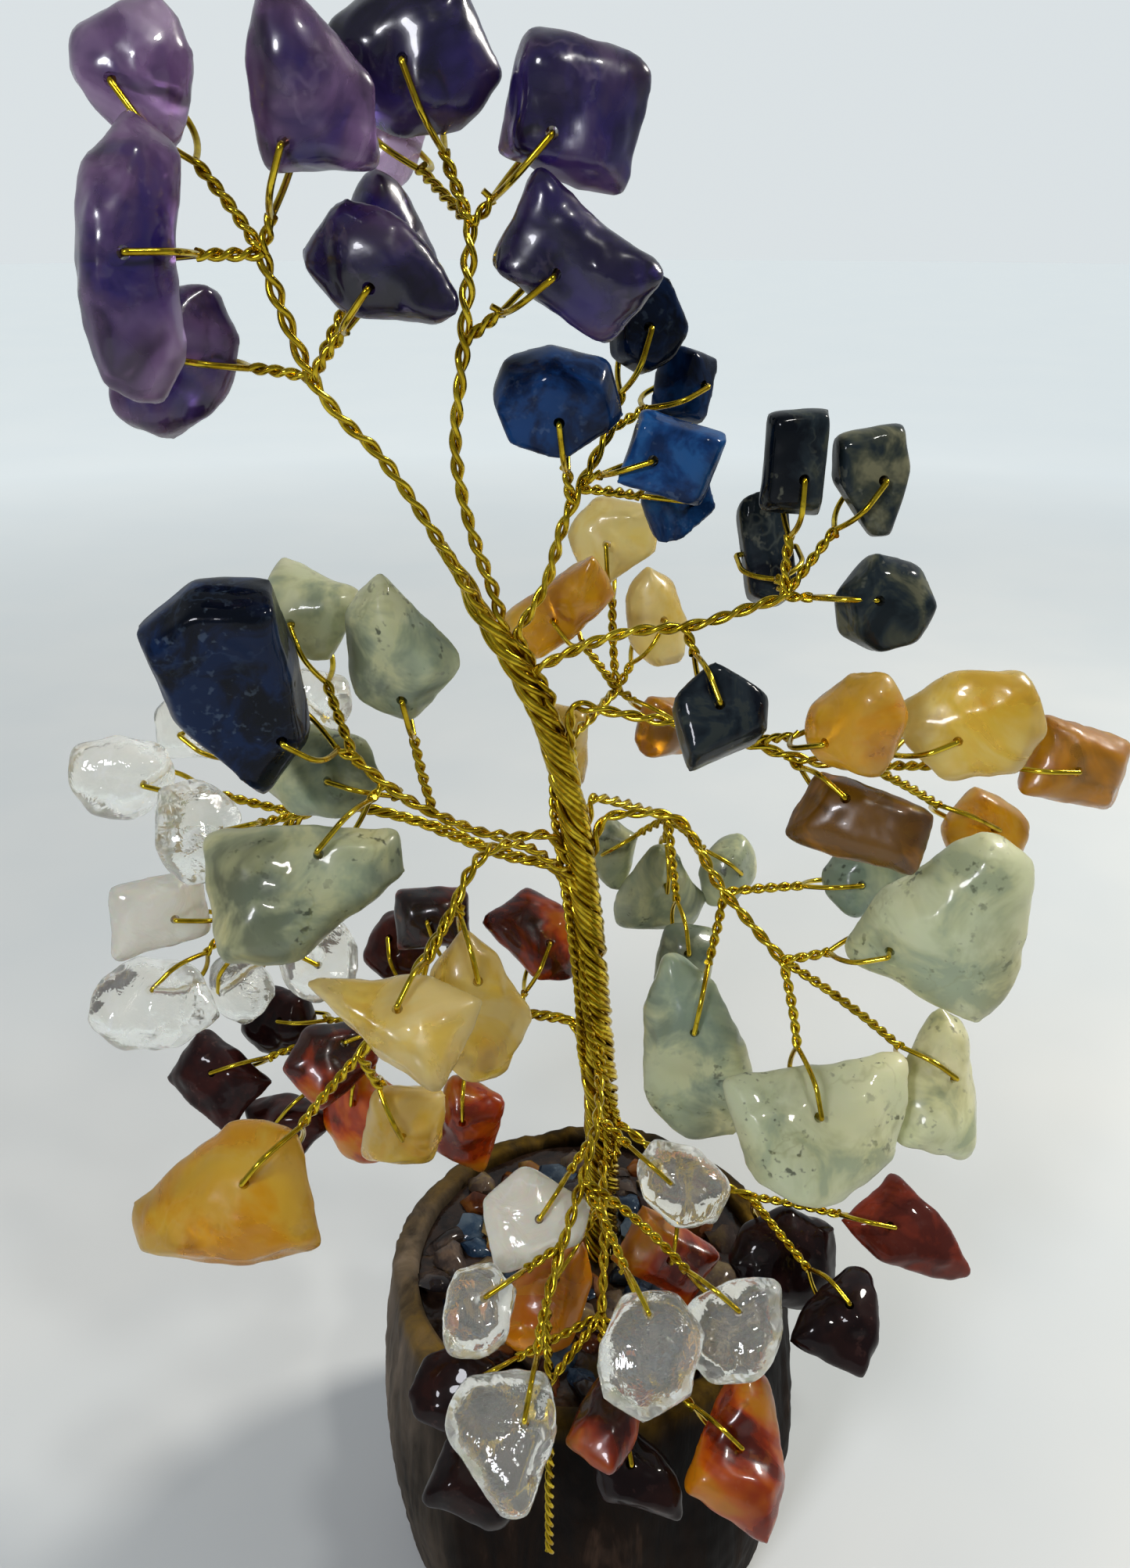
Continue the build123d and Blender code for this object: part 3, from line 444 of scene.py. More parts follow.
# A stone: its gem, or a node of its own that begins with its gem, then its middle, size, outline, turn,
# facing, its hub's share of the stem, and its tone
stonePlan = {
    "crown_left": [
        ("amethyst", (-35.5, -14, 136), (9.5, 8.6, 6), "wedge", -70, (-14, -2), 1, 0.36),
        ("amethyst_cone", (-22.5, -18, 134), (11.8, 8.4, 6), "wedge", 107, (4, 2), 1, 0.6),
        ("amethyst_long_bean", (-36, -21, 124), (18.5, 7.2, 6), "bean", 82, (-16, 4), 1, 0.55),
        ("amethyst", (-36, -11, 116), (12.6, 9.2, 6), "drop", 62, (-20, 6), 0.67, 0.62),
        ("amethyst_wing", (-17, -18, 122.7), (12, 7.2, 5.4), "wedge", -26, (6, 8), 0.67, 0.9),
        ("amethyst", (-18.5, -8, 125.5), (9.5, 6.5, 4.6), "drop", 100, (10, -4), 0.67, 0.75),
    ],
    "crown_right": [
        ("amethyst", (-15.5, -9, 138.5), (11.5, 9.4, 6.4), "pebble", 8, (-6, 0), 1, 1.0),
        ("amethyst", (-18, 0, 132.5), (8.2, 6.5, 4.6), "shard", -60, (-20, 0), 1, 0.1),
        ("amethyst_block", (-3, -11, 134), (10.8, 9.6, 7), "block", -5, (12, 4), 1, 0.8),
        ("amethyst", (-3, -14, 123.5), (12, 8.4, 6), "block", -26, (16, 6), 0.71, 1.0),
    ],
    "lapis": [
        ("lapis", (4, 0, 118), (9, 7, 5), "drop", 110, (18, 4), 1, 0.8),
        ("lapis", (8.5, 5, 111.5), (7.2, 5.5, 4.6), "block", 82, (60, 6), 1, 0.6),
        ("lapis_pentagon", (-3.6, -8, 112), (11, 8.2, 6), "pebble", -8, (-4, 8), 0.62, 0.55),
        ("lapis", (6.5, -6, 107), (8.6, 7.2, 5), "block", -6, (10, 10), 0.74, 0.35),
        ("lapis", (8.5, 4, 100.5), (7.2, 5.5, 4.4), "block", 30, (24, 8), 0.7, 0.3),
    ],
    "sodalite": [
        ("sodalite", (18, -6, 106), (9.6, 6.2, 5), "block", 96, (8, 8), 1, 0.7),
        ("sodalite", (17.5, 3, 95.5), (12, 6.2, 5), "block", 80, (72, 4), 1, 0.9),
        ("sodalite", (26, -3, 104), (10.4, 7.6, 4.6), "wedge", -72, (16, 10), 1, 0.35),
        ("sodalite_pebble", (27, -6, 93.2), (8.8, 8.3, 5.2), "pebble", 64, (8, 14), 1, 0.5),
        ("sodalite", (11.5, -12.5, 83.5), (9.8, 8.6, 6), "shard", 24, (6, 16), 0.6, 0.8),
    ],
    "honey_back": [
        ("honey", (2, 20, 93), (10, 8, 5), "shard", 40, (-10, 14), 1, 0.2),
        ("honey", (-4, 11, 87), (14.5, 6.5, 5), "block", 46, (-20, 12), 1, 0.55),
        ("honey", (8, 18, 84.5), (10.8, 6.5, 5), "drop", 100, (20, 14), 1, 0.2),
        ("honey", (-3, 19, 67), (9.8, 5.4, 4.6), "block", 94, (-12, 16), 1, 0.35),
        ("honey", (10, 19, 70), (9.8, 6.8, 5), "block", -8, (18, 18), 1, 0.85),
    ],
    "honey_right": [
        ("honey_drop", (24, -16, 84), (11, 8.6, 6), "drop", 58, (8, 16), 0.6, 0.6),
        ("honey", (36.6, -10.4, 82.4), (12, 9.6, 6), "pebble", 14, (18, 16), 1, 0.3),
        ("honey", (49.5, -5, 75), (11.4, 8.2, 6), "block", -10, (26, 14), 1, 0.9),
        ("honey", (25.5, -15, 73.5), (12.6, 6.8, 5.6), "block", -8, (8, 24), 0.74, 1.15),
        ("honey", (42.6, -3, 66.4), (11.2, 8.8, 5.2), "shard", -54, (24, 18), 1, 0.65),
    ],
    "green_right": [
        ("green_long_drop", (10.6, -10, 42), (21, 10.8, 6.4), "drop", 106, (-8, 22), 0.64, 0.6),
        ("green_trapeze", (23, -20, 38.5), (17, 15, 7.6), "trapeze", -2, (8, 30), 1, 0.25),
        ("green_side_slab", (38, -12, 41), (15, 9.1, 5.8), "wedge", 76, (22, 28), 1, 0.3),
        ("green", (29.2, -4, 60.9), (9, 7.4, 5.2), "pebble", 16, (20, 22), 0.64, 0.75),
        ("green_large_slab", (35, -16, 62), (18, 15, 7.6), "wedge", 76, (16, 20), 1, 0.3),
    ],
    "green_back": [
        ("green", (3, 20, 52), (9, 5.4, 4.6), "block", 76, (-16, 18), 1, 0.8),
        ("green", (9.5, 17, 47.5), (13.5, 10.4, 5.6), "wedge", 98, (4, 22), 1, 0.6),
        ("green", (18, 20, 49), (9, 7.6, 5), "pebble", 30, (24, 20), 1, 0.5),
        ("green", (11.5, 7.5, 43), (10, 6.4, 5), "block", 82, (12, 26), 1, 0.85),
    ],
    "green_left": [
        ("lapis_kite", (-32.5, -19, 88.5), (21.5, 12.6, 7.4), "plate", -72, (-14, 14), 1, 0.78),
        ("green", (-28.5, -7, 92.5), (9, 8.2, 5.4), "block", -10, (-12, 12), 1, 0.45),
        ("green_kite", (-19, -13, 90), (13.4, 9.8, 6.2), "kite", 106, (6, 12), 0.56, 0.62),
        ("green_wedge", (-27.5, -19, 70), (18.5, 12.4, 7.4), "wedge", 20, (-6, 24), 0.84, 0.66),
        ("green", (-27.5, -7.5, 75.5), (12.4, 8.6, 5.6), "pebble", 10, (-20, 20), 0.7, 0.7),
    ],
    "quartz_left": [
        ("quartz", (-48.3, -4, 74), (9.6, 8.4, 6), "pebble", -8, (-24, 18), 0.62, 0.2),
        ("quartz", (-39.5, -12, 70.5), (10.6, 8.6, 6), "pebble", 72, (-16, 20), 0.6, 0.1),
        ("quartz", (-48, -3, 56), (9.6, 7.6, 5.4), "block", 8, (-28, 22), 1, 0.75),
        ("quartz", (-50, -5, 45), (13.6, 9.8, 6.4), "pebble", 10, (-22, 26), 1, 0.15),
        ("quartz", (-42.5, 4, 42), (9.4, 8.2, 5.4), "pebble", 40, (-30, 26), 1, 0.3),
        ("quartz", (-32, 1, 48), (10, 9, 5.6), "drop", 60, (-10, 26), 1, 0.5),
        ("quartz", (-44, 4, 76), (8.4, 7, 5), "shard", 20, (-36, 16), 0.62, 0.3),
        ("quartz", (-31, 6, 78), (10, 7.4, 5), "pebble", 12, (-14, 16), 0.56, 0.3),
    ],
    "honey_left": [
        ("honey_wing", (-19, -29, 59), (15, 10, 5.6), "wing", -8, (-8, 28), 0.56, 0.12),
        ("honey", (-11.4, -20, 56), (15, 8.2, 6), "drop", 98, (12, 24), 0.52, 0.3),
        ("honey", (-20, -20, 40.5), (10.8, 7.2, 5), "block", 88, (4, 32), 1, 0.4),
        ("honey_hanging_wedge", (-37, -29, 36.5), (18.2, 13.2, 7.6), "wedge", 212, (-10, 34), 1, 0.55),
    ],
    "red_left": [
        ("carnelian", (-5.5, 12, 43.5), (12, 8.4, 5.6), "shard", -58, (10, 20), 0.24, 0.6),
        ("carnelian", (-20, 13, 46), (9.4, 8, 5), "block", 12, (-6, 18), 0.5, 0.75),
        ("red", (-25, 18, 39), (10.4, 8, 5.6), "pebble", 30, (-16, 18), 0.8, 0.5),
        ("carnelian", (-16, 6, 19), (12, 7.6, 5.6), "block", 84, (-4, 34), 0.5, 0.3),
        ("carnelian", (-30.5, 9, 18.5), (12, 9.8, 5.6), "pebble", 96, (-12, 34), 1, 0.5),
        ("carnelian", (-32.5, 4, 32), (11.4, 8.4, 5), "shard", 36, (-18, 30), 0.76, 0.6),
        ("red", (-50, 11, 22.5), (11.5, 9, 6), "block", -16, (-30, 28), 1, 0.6),
        ("red", (-41.5, 16, 28.5), (11, 9, 5.6), "pebble", 20, (-24, 22), 1, 0.7),
        ("red", (-41, 12, 14), (12.5, 9.6, 5.6), "wedge", 40, (-18, 34), 1, 0.6),
    ],
    "quartz_front": [
        ("quartz", (-6, -17, 25), (11.4, 8.8, 5.6), "shard", 22, (-4, 36), 0.3, 0.9),
        ("quartz", (10, -13.5, 25.5), (11, 7.4, 5.4), "pebble", -38, (10, 32), 0.2, 0.3),
        ("quartz_front_pebble", (-12.2, -29, 25.4), (9.1, 7.1, 5.1), "pebble", 66, (-10, 40), 0.78, 0.3),
        ("quartz_front_wedge", (-7.5, -39.4, 17.1), (12.6, 10.2, 6.2), "wedge", -76, (-2, 44), 1, 0.1),
        ("quartz", (6.5, -31, 22.5), (10.8, 9.6, 6), "pebble", 80, (6, 40), 0.5, 0.4),
        ("quartz", (15.5, -26, 20), (11, 9, 5.6), "drop", 34, (18, 38), 0.5, 0.15),
    ],
    "red_right": [
        ("red", (24, -11, 12.5), (12.5, 10, 6), "pebble", -20, (10, 40), 1, 0.9),
        ("red", (28.3, -20.6, 14.4), (11.4, 9, 5.6), "wedge", 64, (24, 36), 1, 0.95),
        ("red_side_wedge", (39.5, -9, 15), (14, 8.6, 6), "wedge", -42, (26, 32), 1, 0.15),
        ("carnelian", (9.5, -10, 12), (10.4, 8, 5), "block", -24, (6, 44), 0.5, 0.4),
    ],
    "red_front": [
        ("carnelian", (-5.6, -15, 10.8), (13, 8.6, 5.6), "drop", 62, (-8, 34), 0.3, -0.25),
        ("carnelian_low_wedge", (16, -30, 4), (15, 10.8, 6), "wedge", 74, (14, 46), 1, 0.35),
        ("carnelian", (1.3, -32, 13), (12, 6.2, 5), "wedge", 80, (0, 42), 1, 0.55),
        ("red", (-14.4, -25.6, 8.8), (9.2, 7.2, 4.8), "pebble", 44, (-20, 40), 1, 0.8),
        ("red", (-12.4, -35.6, 7.7), (10.4, 8.4, 5.2), "shard", -20, (-12, 44), 1, 0.85),
        ("red", (4, -31.6, 2.8), (11, 8.6, 5.4), "kite", -30, (6, 46), 1, 0.9),
    ],
}

# Routes: smooth lines along given points, read back from a spline

def addSpline(curve, kind, points):
    spline = curve.splines.new(kind)
    spline.points.add(len(points) - 1)
    for control, place in zip(spline.points, points):
        control.co = (*place, 1)
    return spline


def curveForm(curve):            # the curve's mesh, after which the curve itself is spent
    holder = bpy.data.objects.new("route", curve)
    mesh = bpy.data.meshes.new_from_object(holder)
    bm = bmesh.new()
    bm.from_mesh(mesh)
    bpy.data.objects.remove(holder)
    bpy.data.meshes.remove(mesh)
    bpy.data.curves.remove(curve)
    return bm


def smoothLine(points, steps=40):
    curve = setAll(bpy.data.curves.new("route", "CURVE"), dimensions="3D", resolution_u=steps)
    setAll(addSpline(curve, "NURBS", points), order_u=3, use_endpoint_u=True)
    bm = curveForm(curve)
    line = [vert.co.copy() for vert in bm.verts]
    bm.free()
    return line


def distancesOf(line):
    distances = [0.0]
    for before, after in zip(line, line[1:]):
        distances.append(distances[-1] + (after - before).length)
    return distances


def pointAt(line, share):
    distances = distancesOf(line)
    wanted = share * distances[-1]
    for n in range(len(line) - 1):
        if distances[n + 1] >= wanted:
            part = (wanted - distances[n]) / (distances[n + 1] - distances[n])
            return line[n].lerp(line[n + 1], part)
    return line[-1].copy()


def carriedFrames(line):         # a side and an up at each point, carried along without twist
    frames = []
    side = Vector((1, 0, 0))
    for n, point in enumerate(line):
        heading = (line[min(n + 1, len(line) - 1)] - line[max(n - 1, 0)]).normalized()
        side = (side - heading * side.dot(heading)).normalized()
        frames.append((point, side, heading.cross(side)))
    return frames


def woundStrand(line, phase, pitch, spreadAt, wander=0):     # one wire of a twisted bundle, as points
    points = []
    for (point, side, up), distance in zip(carriedFrames(line), distancesOf(line)):
        spot = (distance * trunkPlan["wanderStep"], phase * trunkPlan["wanderApart"], trunkPlan["wanderSeed"])
        angle = phase + 2 * pi * distance / pitch + wander * noise.noise(spot)
        points.append(point + (side * cos(angle) + up * sin(angle)) * spreadAt(distance))
    return points


def newWires(name):              # as the bevel is 1, each point's radius is the wire's own
    return setAll(
        bpy.data.curves.new(name, "CURVE"), dimensions="3D", bevel_depth=1.0, bevel_resolution=2,
        use_fill_caps=True)


def addStrand(curve, points, radius):    # one radius, or a list with one for each point
    radii = radius if isinstance(radius, list) else [radius] * len(points)
    for control, ownRadius in zip(addSpline(curve, "POLY", points).points, radii):
        control.radius = ownRadius


def linkObject(name, data, **settings):
    holder = setAll(bpy.data.objects.new(name, data), **settings)
    scene.collection.objects.link(holder)
    return holder


def linkedMesh(name, bm):
    mesh = bpy.data.meshes.new(name)
    bm.to_mesh(mesh)
    bm.free()
    return linkObject(name, mesh)


def finishPiece(name, bm, materials, body, nodes, sharpAngle=55):
    bmesh.ops.scale(bm, vec=(mm, mm, mm), verts=bm.verts)
    piece = linkedMesh(name, bm)
    mesh = piece.data
    mesh.polygons.foreach_set("use_smooth", [True] * len(mesh.polygons))
    mesh.set_sharp_from_angle(angle=radians(sharpAngle))
    for material in materials:
        mesh.materials.append(material)
    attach(piece, body)
    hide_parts(*nodes)


def finishWires(name, curve, body, nodes):
    finishPiece(name, curveForm(curve), [goldWire], body, nodes)


def treePoint(place):
    return Vector(place) + Vector((0, 0, bedTop))


# Trunk and fork wires

trunkLine = smoothLine([treePoint(p) for p in trunkPoints])
trunkLength = distancesOf(trunkLine)[-1]
trunkPlan = {
    "wireRadius": 0.4, "pitch": -12.5, "sunk": 2.0,
    "spread": (1.9, 0.8), "taper": 1.6,      # from the bundle's middle to its wires, at foot and fork
    "ends": (1.0, 0.93, 0.82, 1.0, 0.72, 0.97, 0.88, 0.78, 0.95, 0.85, 0.9),
    "dive": 5.0, "inside": 0.35,     # over this length an ending wire goes inside the bundle
    "core": 1.5, "uneven": 0.22, "unevenStep": 0.16, "unevenApart": 7.3,
    "wander": 0.5, "wanderStep": 0.11, "wanderApart": 3, "wanderSeed": 4,
}
climberPlan = {                      # twisted pairs that run up the trunk's outside: two shares and a bearing
    "pairs": ((0.1, 0.5, -98), (0.16, 0.36, -60), (0.3, 0.72, 200)),
    "steps": 90, "sway": 22, "swayTurn": 5, "proud": 0.75, "tuck": 8, "finer": 3,
}
forkPlan = {"low": 6.0, "middle": 2.6, "lead": 1.3, "inside": 1.0, "ahead": 0.004, "steps": 16}
stemPlan = {"wireRadius": 0.3, "pitch": -5.0, "leave": 1.6, "loose": 0.7, "looseStep": 0.3, "crowded": 6}
twigPlan = {
    "wireRadius": 0.27, "pitch": -2.9, "bow": 0.06, "bowRise": (-0.4, 1), "loose": 0.35, "looseSeed": 2,
    "steps": 2.2, "leastSteps": 8, "stub": 1.0, "stubShare": 0.5, "stubBack": 0.05, "stubDepth": (-1, 0.2),
}
tailPlan = {                         # the spare end that hangs in front of the log
    "branch": "quartz_front",
    "line": [(-5, -28, 24.5), (-4.6, -32.6, 10), (-4.8, -34.2, 2), (-4.8, -34.4, -6.5)],
}
loopPlan = {                         # the wire through a stone's bore, and how far in the bore is
    "wireRadius": 0.28, "wireDiameter": 0.6, "gap": 0.3, "inset": 3.4, "spread": 0.5, "corner": 0.7,
    "steps": 7,
}
swivelRange = 12
boreRadius = 0.5


def trunkSpread(distance):
    foot, fork = trunkPlan["spread"]
    share = min(distance / trunkLength, 1.0)
    return foot + (fork - foot) * share ** trunkPlan["taper"]


def trunkWires(curve):
    plan = trunkPlan
    sunkLine = [trunkLine[0] - Vector((0, 0, plan["sunk"]))] + trunkLine
    for number, end in enumerate(plan["ends"]):
        stop = end * trunkLength

        def spreadAt(distance):
            left = max(stop - distance, 0) / plan["dive"]
            spot = (distance * plan["unevenStep"], number * plan["unevenApart"], 0)
            slack = noise.noise(spot) * plan["uneven"]
            return trunkSpread(distance) * min(plan["inside"] + (1 - plan["inside"]) * left, 1) * (1 + slack)

        phase = 2 * pi * number / len(plan["ends"])
        points = woundStrand(sunkLine, phase, plan["pitch"], spreadAt, plan["wander"])
        kept = [p for p, d in zip(points, distancesOf(sunkLine)) if d <= stop]
        addStrand(curve, kept, plan["wireRadius"])
    core = [plan["core"] * trunkSpread(d) / plan["spread"][0] for d in distancesOf(sunkLine)]
    addStrand(curve, sunkLine, core)


def climberLine(low, high, bearing):
    plan = climberPlan
    points = []
    for n in range(plan["steps"] + 1):
        part = n / plan["steps"]
        share = low + (high - low) * part
        angle = radians(bearing + plan["sway"] * sin(part * plan["swayTurn"]))
        tucked = min(part * plan["tuck"], (1 - part) * plan["tuck"], 1)      # both ends go in under the wires
        reach = trunkSpread(share * trunkLength) + plan["proud"] * tucked
        points.append(pointAt(trunkLine, share) + Vector((cos(angle), sin(angle), 0)) * reach)
    return smoothLine(points, plan["finer"])


def forkLine(share, root, stem):     # from inside the trunk, below the root, out to the root
    plan = forkPlan
    low, middle = (
        pointAt(trunkLine, max(share - plan[way] / trunkLength, 0)) for way in ("low", "middle"))
    away = (root - pointAt(trunkLine, share)).normalized()
    heading = (pointAt(stem, plan["ahead"]) - stem[0]).normalized()
    inside = [low + away * plan["inside"], middle + away * (plan["inside"] * 2)]
    return smoothLine(inside + [root - heading * plan["lead"], root], plan["steps"])


# Stones: where each one is drilled, and the twig and loop that hold it

def edgeReach(corners, way):
    for a, b in zip(corners, corners[1:] + corners[:1]):
        side = b - a
        turn = way.x * side.y - way.y * side.x
        if abs(turn) < 1e-9:
            continue
        reach = (a.x * side.y - a.y * side.x) / turn
        share = (a.x * way.y - a.y * way.x) / turn
        if reach > 0 and 0 <= share <= 1:
            return reach
    raise ValueError("outline doesn't go round its middle")


def threadStone(place, size, outline, turn, facing, hub):
    middle = treePoint(place)
    bearing, tilt = (radians(angle) for angle in facing)
    viewed = Vector((sin(bearing) * cos(tilt), -cos(bearing) * cos(tilt), sin(tilt)))
    toTwig = (hub - middle).normalized()
    out = (viewed - toTwig * viewed.dot(toTwig)).normalized()
    level = Vector((0, 0, 1)).cross(out).normalized()
    along = Quaternion(out, radians(turn)) @ level
    stand = Matrix((along, out.cross(along), out)).transposed().to_4x4()
    stand.translation = middle
    corners = [Vector((size[0] * x, size[1] * y)) for x, y in outlinePlan[outline]]
    way = (stand.inverted() @ hub).xy.normalized()
    swings = (0, -swivelRange, swivelRange)
    reaches = [edgeReach(corners, Matrix.Rotation(radians(swing), 2) @ way) for swing in swings]
    clear = loopPlan["gap"] + loopPlan["wireDiameter"] / 2
    shoulder = middle + toTwig * (max(reaches) + clear)
    rise = size[2] / 2 + clear
    return {
        "stand": stand, "corners": corners, "out": out, "toTwig": toTwig, "rise": rise,
        "hole": middle + toTwig * (reaches[0] - loopPlan["inset"]),
        "shoulder": shoulder, "knot": shoulder + toTwig * rise * loopPlan["spread"],
    }


def loopRoute(thread):
    out = thread["out"] * thread["rise"]
    lift = thread["out"] * loopPlan["corner"]
    along = thread["toTwig"] * loopPlan["corner"]
    beside = thread["out"] * twigPlan["wireRadius"]
    hole, shoulder, knot = thread["hole"], thread["shoulder"], thread["knot"]
    return smoothLine([
        knot + beside, shoulder + out, hole + out + along, hole + out, hole + out - lift,
        hole - out + lift, hole - out, hole - out + along, shoulder - out, knot - beside,
    ], loopPlan["steps"])


def pairWires(curve, line):         # two wires twisted together, tighter here and looser there
    plan = twigPlan
    place = line[0].x + line[0].y

    def spreadAt(distance):
        slack = noise.noise((distance * stemPlan["looseStep"], place, plan["looseSeed"])) * plan["loose"]
        return plan["wireRadius"] * (1 + max(slack, 0))

    for side in (0, pi):
        addStrand(curve, woundStrand(line, side, plan["pitch"], spreadAt), plan["wireRadius"])


def twigWires(curve, hub, thread, chance):
    plan = twigPlan
    end = thread["knot"]
    length = (end - hub).length
    bow = Vector(drawEach(chance, eitherWay, eitherWay, plan["bowRise"]))
    middle = hub.lerp(end, 0.5) + bow * (length * plan["bow"])
    pairWires(curve, smoothLine([hub, middle, end], max(plan["leastSteps"], int(length * plan["steps"]))))
    addStrand(curve, loopRoute(thread), loopPlan["wireRadius"])
    stub = Vector(drawEach(chance, eitherWay, plan["stubDepth"], eitherWay))
    if chance.random() < plan["stubShare"]:
        tip = end.lerp(hub, plan["stubBack"]) + stub.normalized() * plan["stub"]
        addStrand(curve, [end, tip], plan["wireRadius"])


def stemWires(curve, forkCurve, fork, stem, leaves):     # two wires to the last hub, a third to half the hubs
    plan = stemPlan
    line = fork + stem[1:]
    distances = distancesOf(line)
    forkEnd = len(fork) - 1
    stemLength = distances[-1] - distances[forkEnd]
    hubs = sorted(distances[forkEnd] + share * stemLength for share in leaves)
    stops = [hubs[-1], hubs[-1]]
    if len(hubs) > plan["crowded"]:
        stops.append(hubs[len(hubs) // 2])

    def spreadAt(distance):
        count = sum(min(max((stop - distance) / plan["leave"] + 1, 0), 1) for stop in stops)
        slack = noise.noise((distance * plan["looseStep"], stemLength, 0)) * plan["loose"]
        return plan["wireRadius"] / sin(pi / max(count, 2)) * (1 + max(slack, 0))

    for number, stop in enumerate(stops):
        points = woundStrand(line, 2 * pi * number / len(stops), plan["pitch"], spreadAt)
        addStrand(forkCurve, points[:forkEnd + 1], plan["wireRadius"])
        kept = [p for p, d in zip(points, distances) if d <= stop + plan["wireRadius"]]
        addStrand(curve, kept[forkEnd:], plan["wireRadius"])


# Tumbled chips

chipPlan = {
    "layers": ((-0.5, 0.55), (-0.38, 0.86), (-0.13, 1.12), (0.13, 1.12), (0.38, 0.86), (0.5, 0.55)),
    "flatLayers": ((-0.5, 0.8), (-0.44, 0.92), (-0.13, 1.04), (0.13, 1.04), (0.44, 0.92), (0.5, 0.8)),
    "flatGems": ("lapis", "sodalite"), "flatWear": 0.45,
    "shift": 0.06, "jitter": 0.04, "facets": 3, "facetLean": (15, 55), "facetDepth": (0.86, 0.97),
    "facetKeep": 1.9,                # no facet comes nearer to the bore than this
    "voxel": 0.42, "wearScale": 6.0, "wear": 1.3, "wearMiddle": 0.4,
    "tumbling": {"carnelian": 18, "red": 22, "quartz": 30, "lapis": 12, "sodalite": 14, "green": 34},
    "usualTumbling": 28, "usualWidth": 9.0, "boreSides": 14, "edgeEnd": 1.1, "edgePower": 3,
}


def chipCage(size, thread, flat, chance):
    plan = chipPlan
    thickness = size[2]
    layers = plan["flatLayers" if flat else "layers"]
    bm = bmesh.new()
    low, spread = layers[0]
    corners = [Vector((*corner * spread, low * thickness)) for corner in thread["corners"]]
    face = bm.faces.new([bm.verts.new(corner) for corner in corners])
    for level, wider in layers[1:]:
        below = face
        grown = bmesh.ops.extrude_face_region(bm, geom=[below])["geom"]
        face = [item for item in grown if isinstance(item, bmesh.types.BMFace)][0]
        if spread != layers[0][1] or low > 0:
            bm.faces.remove(below)                     # only the underside stays
        ratio = wider / spread
        bmesh.ops.scale(bm, vec=(ratio, ratio, 1), verts=face.verts)
        drift = [draw * size[1] * plan["shift"] for draw in drawEach(chance, eitherWay, eitherWay)]
        bmesh.ops.translate(bm, vec=(*drift, (level - low) * thickness), verts=face.verts)
        for vert in face.verts:
            vert.co += Vector(drawEach(chance, *[eitherWay] * 3)) * (size[1] * plan["jitter"])
        low, spread = level, wider
    bmesh.ops.recalc_face_normals(bm, faces=bm.faces)
    bmesh.ops.triangulate(bm, faces=bm.faces)          # flat faces, so that each facet's cut closes
    hole = thread["stand"].inverted() @ thread["hole"]
    for n in range(plan["facets"]):
        bearing = chance.uniform(0, 2 * pi)
        lean = radians(chance.choice((-1, 1)) * chance.uniform(*plan["facetLean"]))
        way = Vector((cos(bearing) * cos(lean), sin(bearing) * cos(lean), sin(lean)))
        reach = max(vert.co.dot(way) for vert in bm.verts) * chance.uniform(*plan["facetDepth"])
        if flat or hole.dot(way) + plan["facetKeep"] > reach:
            continue
        everything = bm.verts[:] + bm.edges[:] + bm.faces[:]
        bmesh.ops.bisect_plane(bm, geom=everything, plane_co=way * reach, plane_no=way, clear_outer=True)
        bmesh.ops.holes_fill(bm, edges=[edge for edge in bm.edges if edge.is_boundary], sides=0)
        bmesh.ops.triangulate(bm, faces=bm.faces)
    bmesh.ops.recalc_face_normals(bm, faces=bm.faces)
    bmesh.ops.transform(bm, matrix=thread["stand"], verts=bm.verts)
    return bm


def chipHolder(gem, size, thread, wearTexture, chance):   # a cage with the modifiers that tumble and drill it
    plan = chipPlan
    flat = gem in plan["flatGems"]
    holder = linkedMesh("cage", chipCage(size, thread, flat, chance))
    bore = bmesh.new()
    bmesh.ops.create_cone(
        bore, cap_ends=True, segments=plan["boreSides"], radius1=boreRadius, radius2=boreRadius,
        depth=size[2] * 2)
    drill = thread["stand"].copy()
    drill.translation = thread["hole"]
    bmesh.ops.transform(bore, matrix=drill, verts=bore.verts)
    cutter = linkedMesh("bore", bore)
    rounding = plan["tumbling"].get(gem, plan["usualTumbling"]) * size[1] / plan["usualWidth"]
    addModifier = holder.modifiers.new
    setAll(addModifier("skin", "REMESH"), mode="VOXEL", voxel_size=plan["voxel"])
    setAll(addModifier("tumble", "SMOOTH"), iterations=int(rounding))
    setAll(addModifier("wear", "DISPLACE"), texture=wearTexture, mid_level=plan["wearMiddle"],
           strength=plan["flatWear" if flat else "wear"])
    setAll(addModifier("drilled", "BOOLEAN"), object=cutter, operation="DIFFERENCE", solver="EXACT")
    return holder, cutter


def edgeTones(mesh, gem, tone, size, stand):     # painted light: a chip's thin edges get a paler tone, as if light came through them
    paler = gemPlan.get(gem, {}).get("edge", 0)
    flat = stand.inverted()
    tones = []
    for vert in mesh.vertices:
        place = flat @ vert.co
        reach = Vector((place.x / size[0], place.y / size[1])).length * 2
        tones.append(tone - paler * min(reach, chipPlan["edgeEnd"]) ** chipPlan["edgePower"])
    return tones


wearTexture = bpy.data.textures.new("wear", "CLOUDS")
wearTexture.noise_scale = chipPlan["wearScale"]
wearTexture.noise_depth = 2

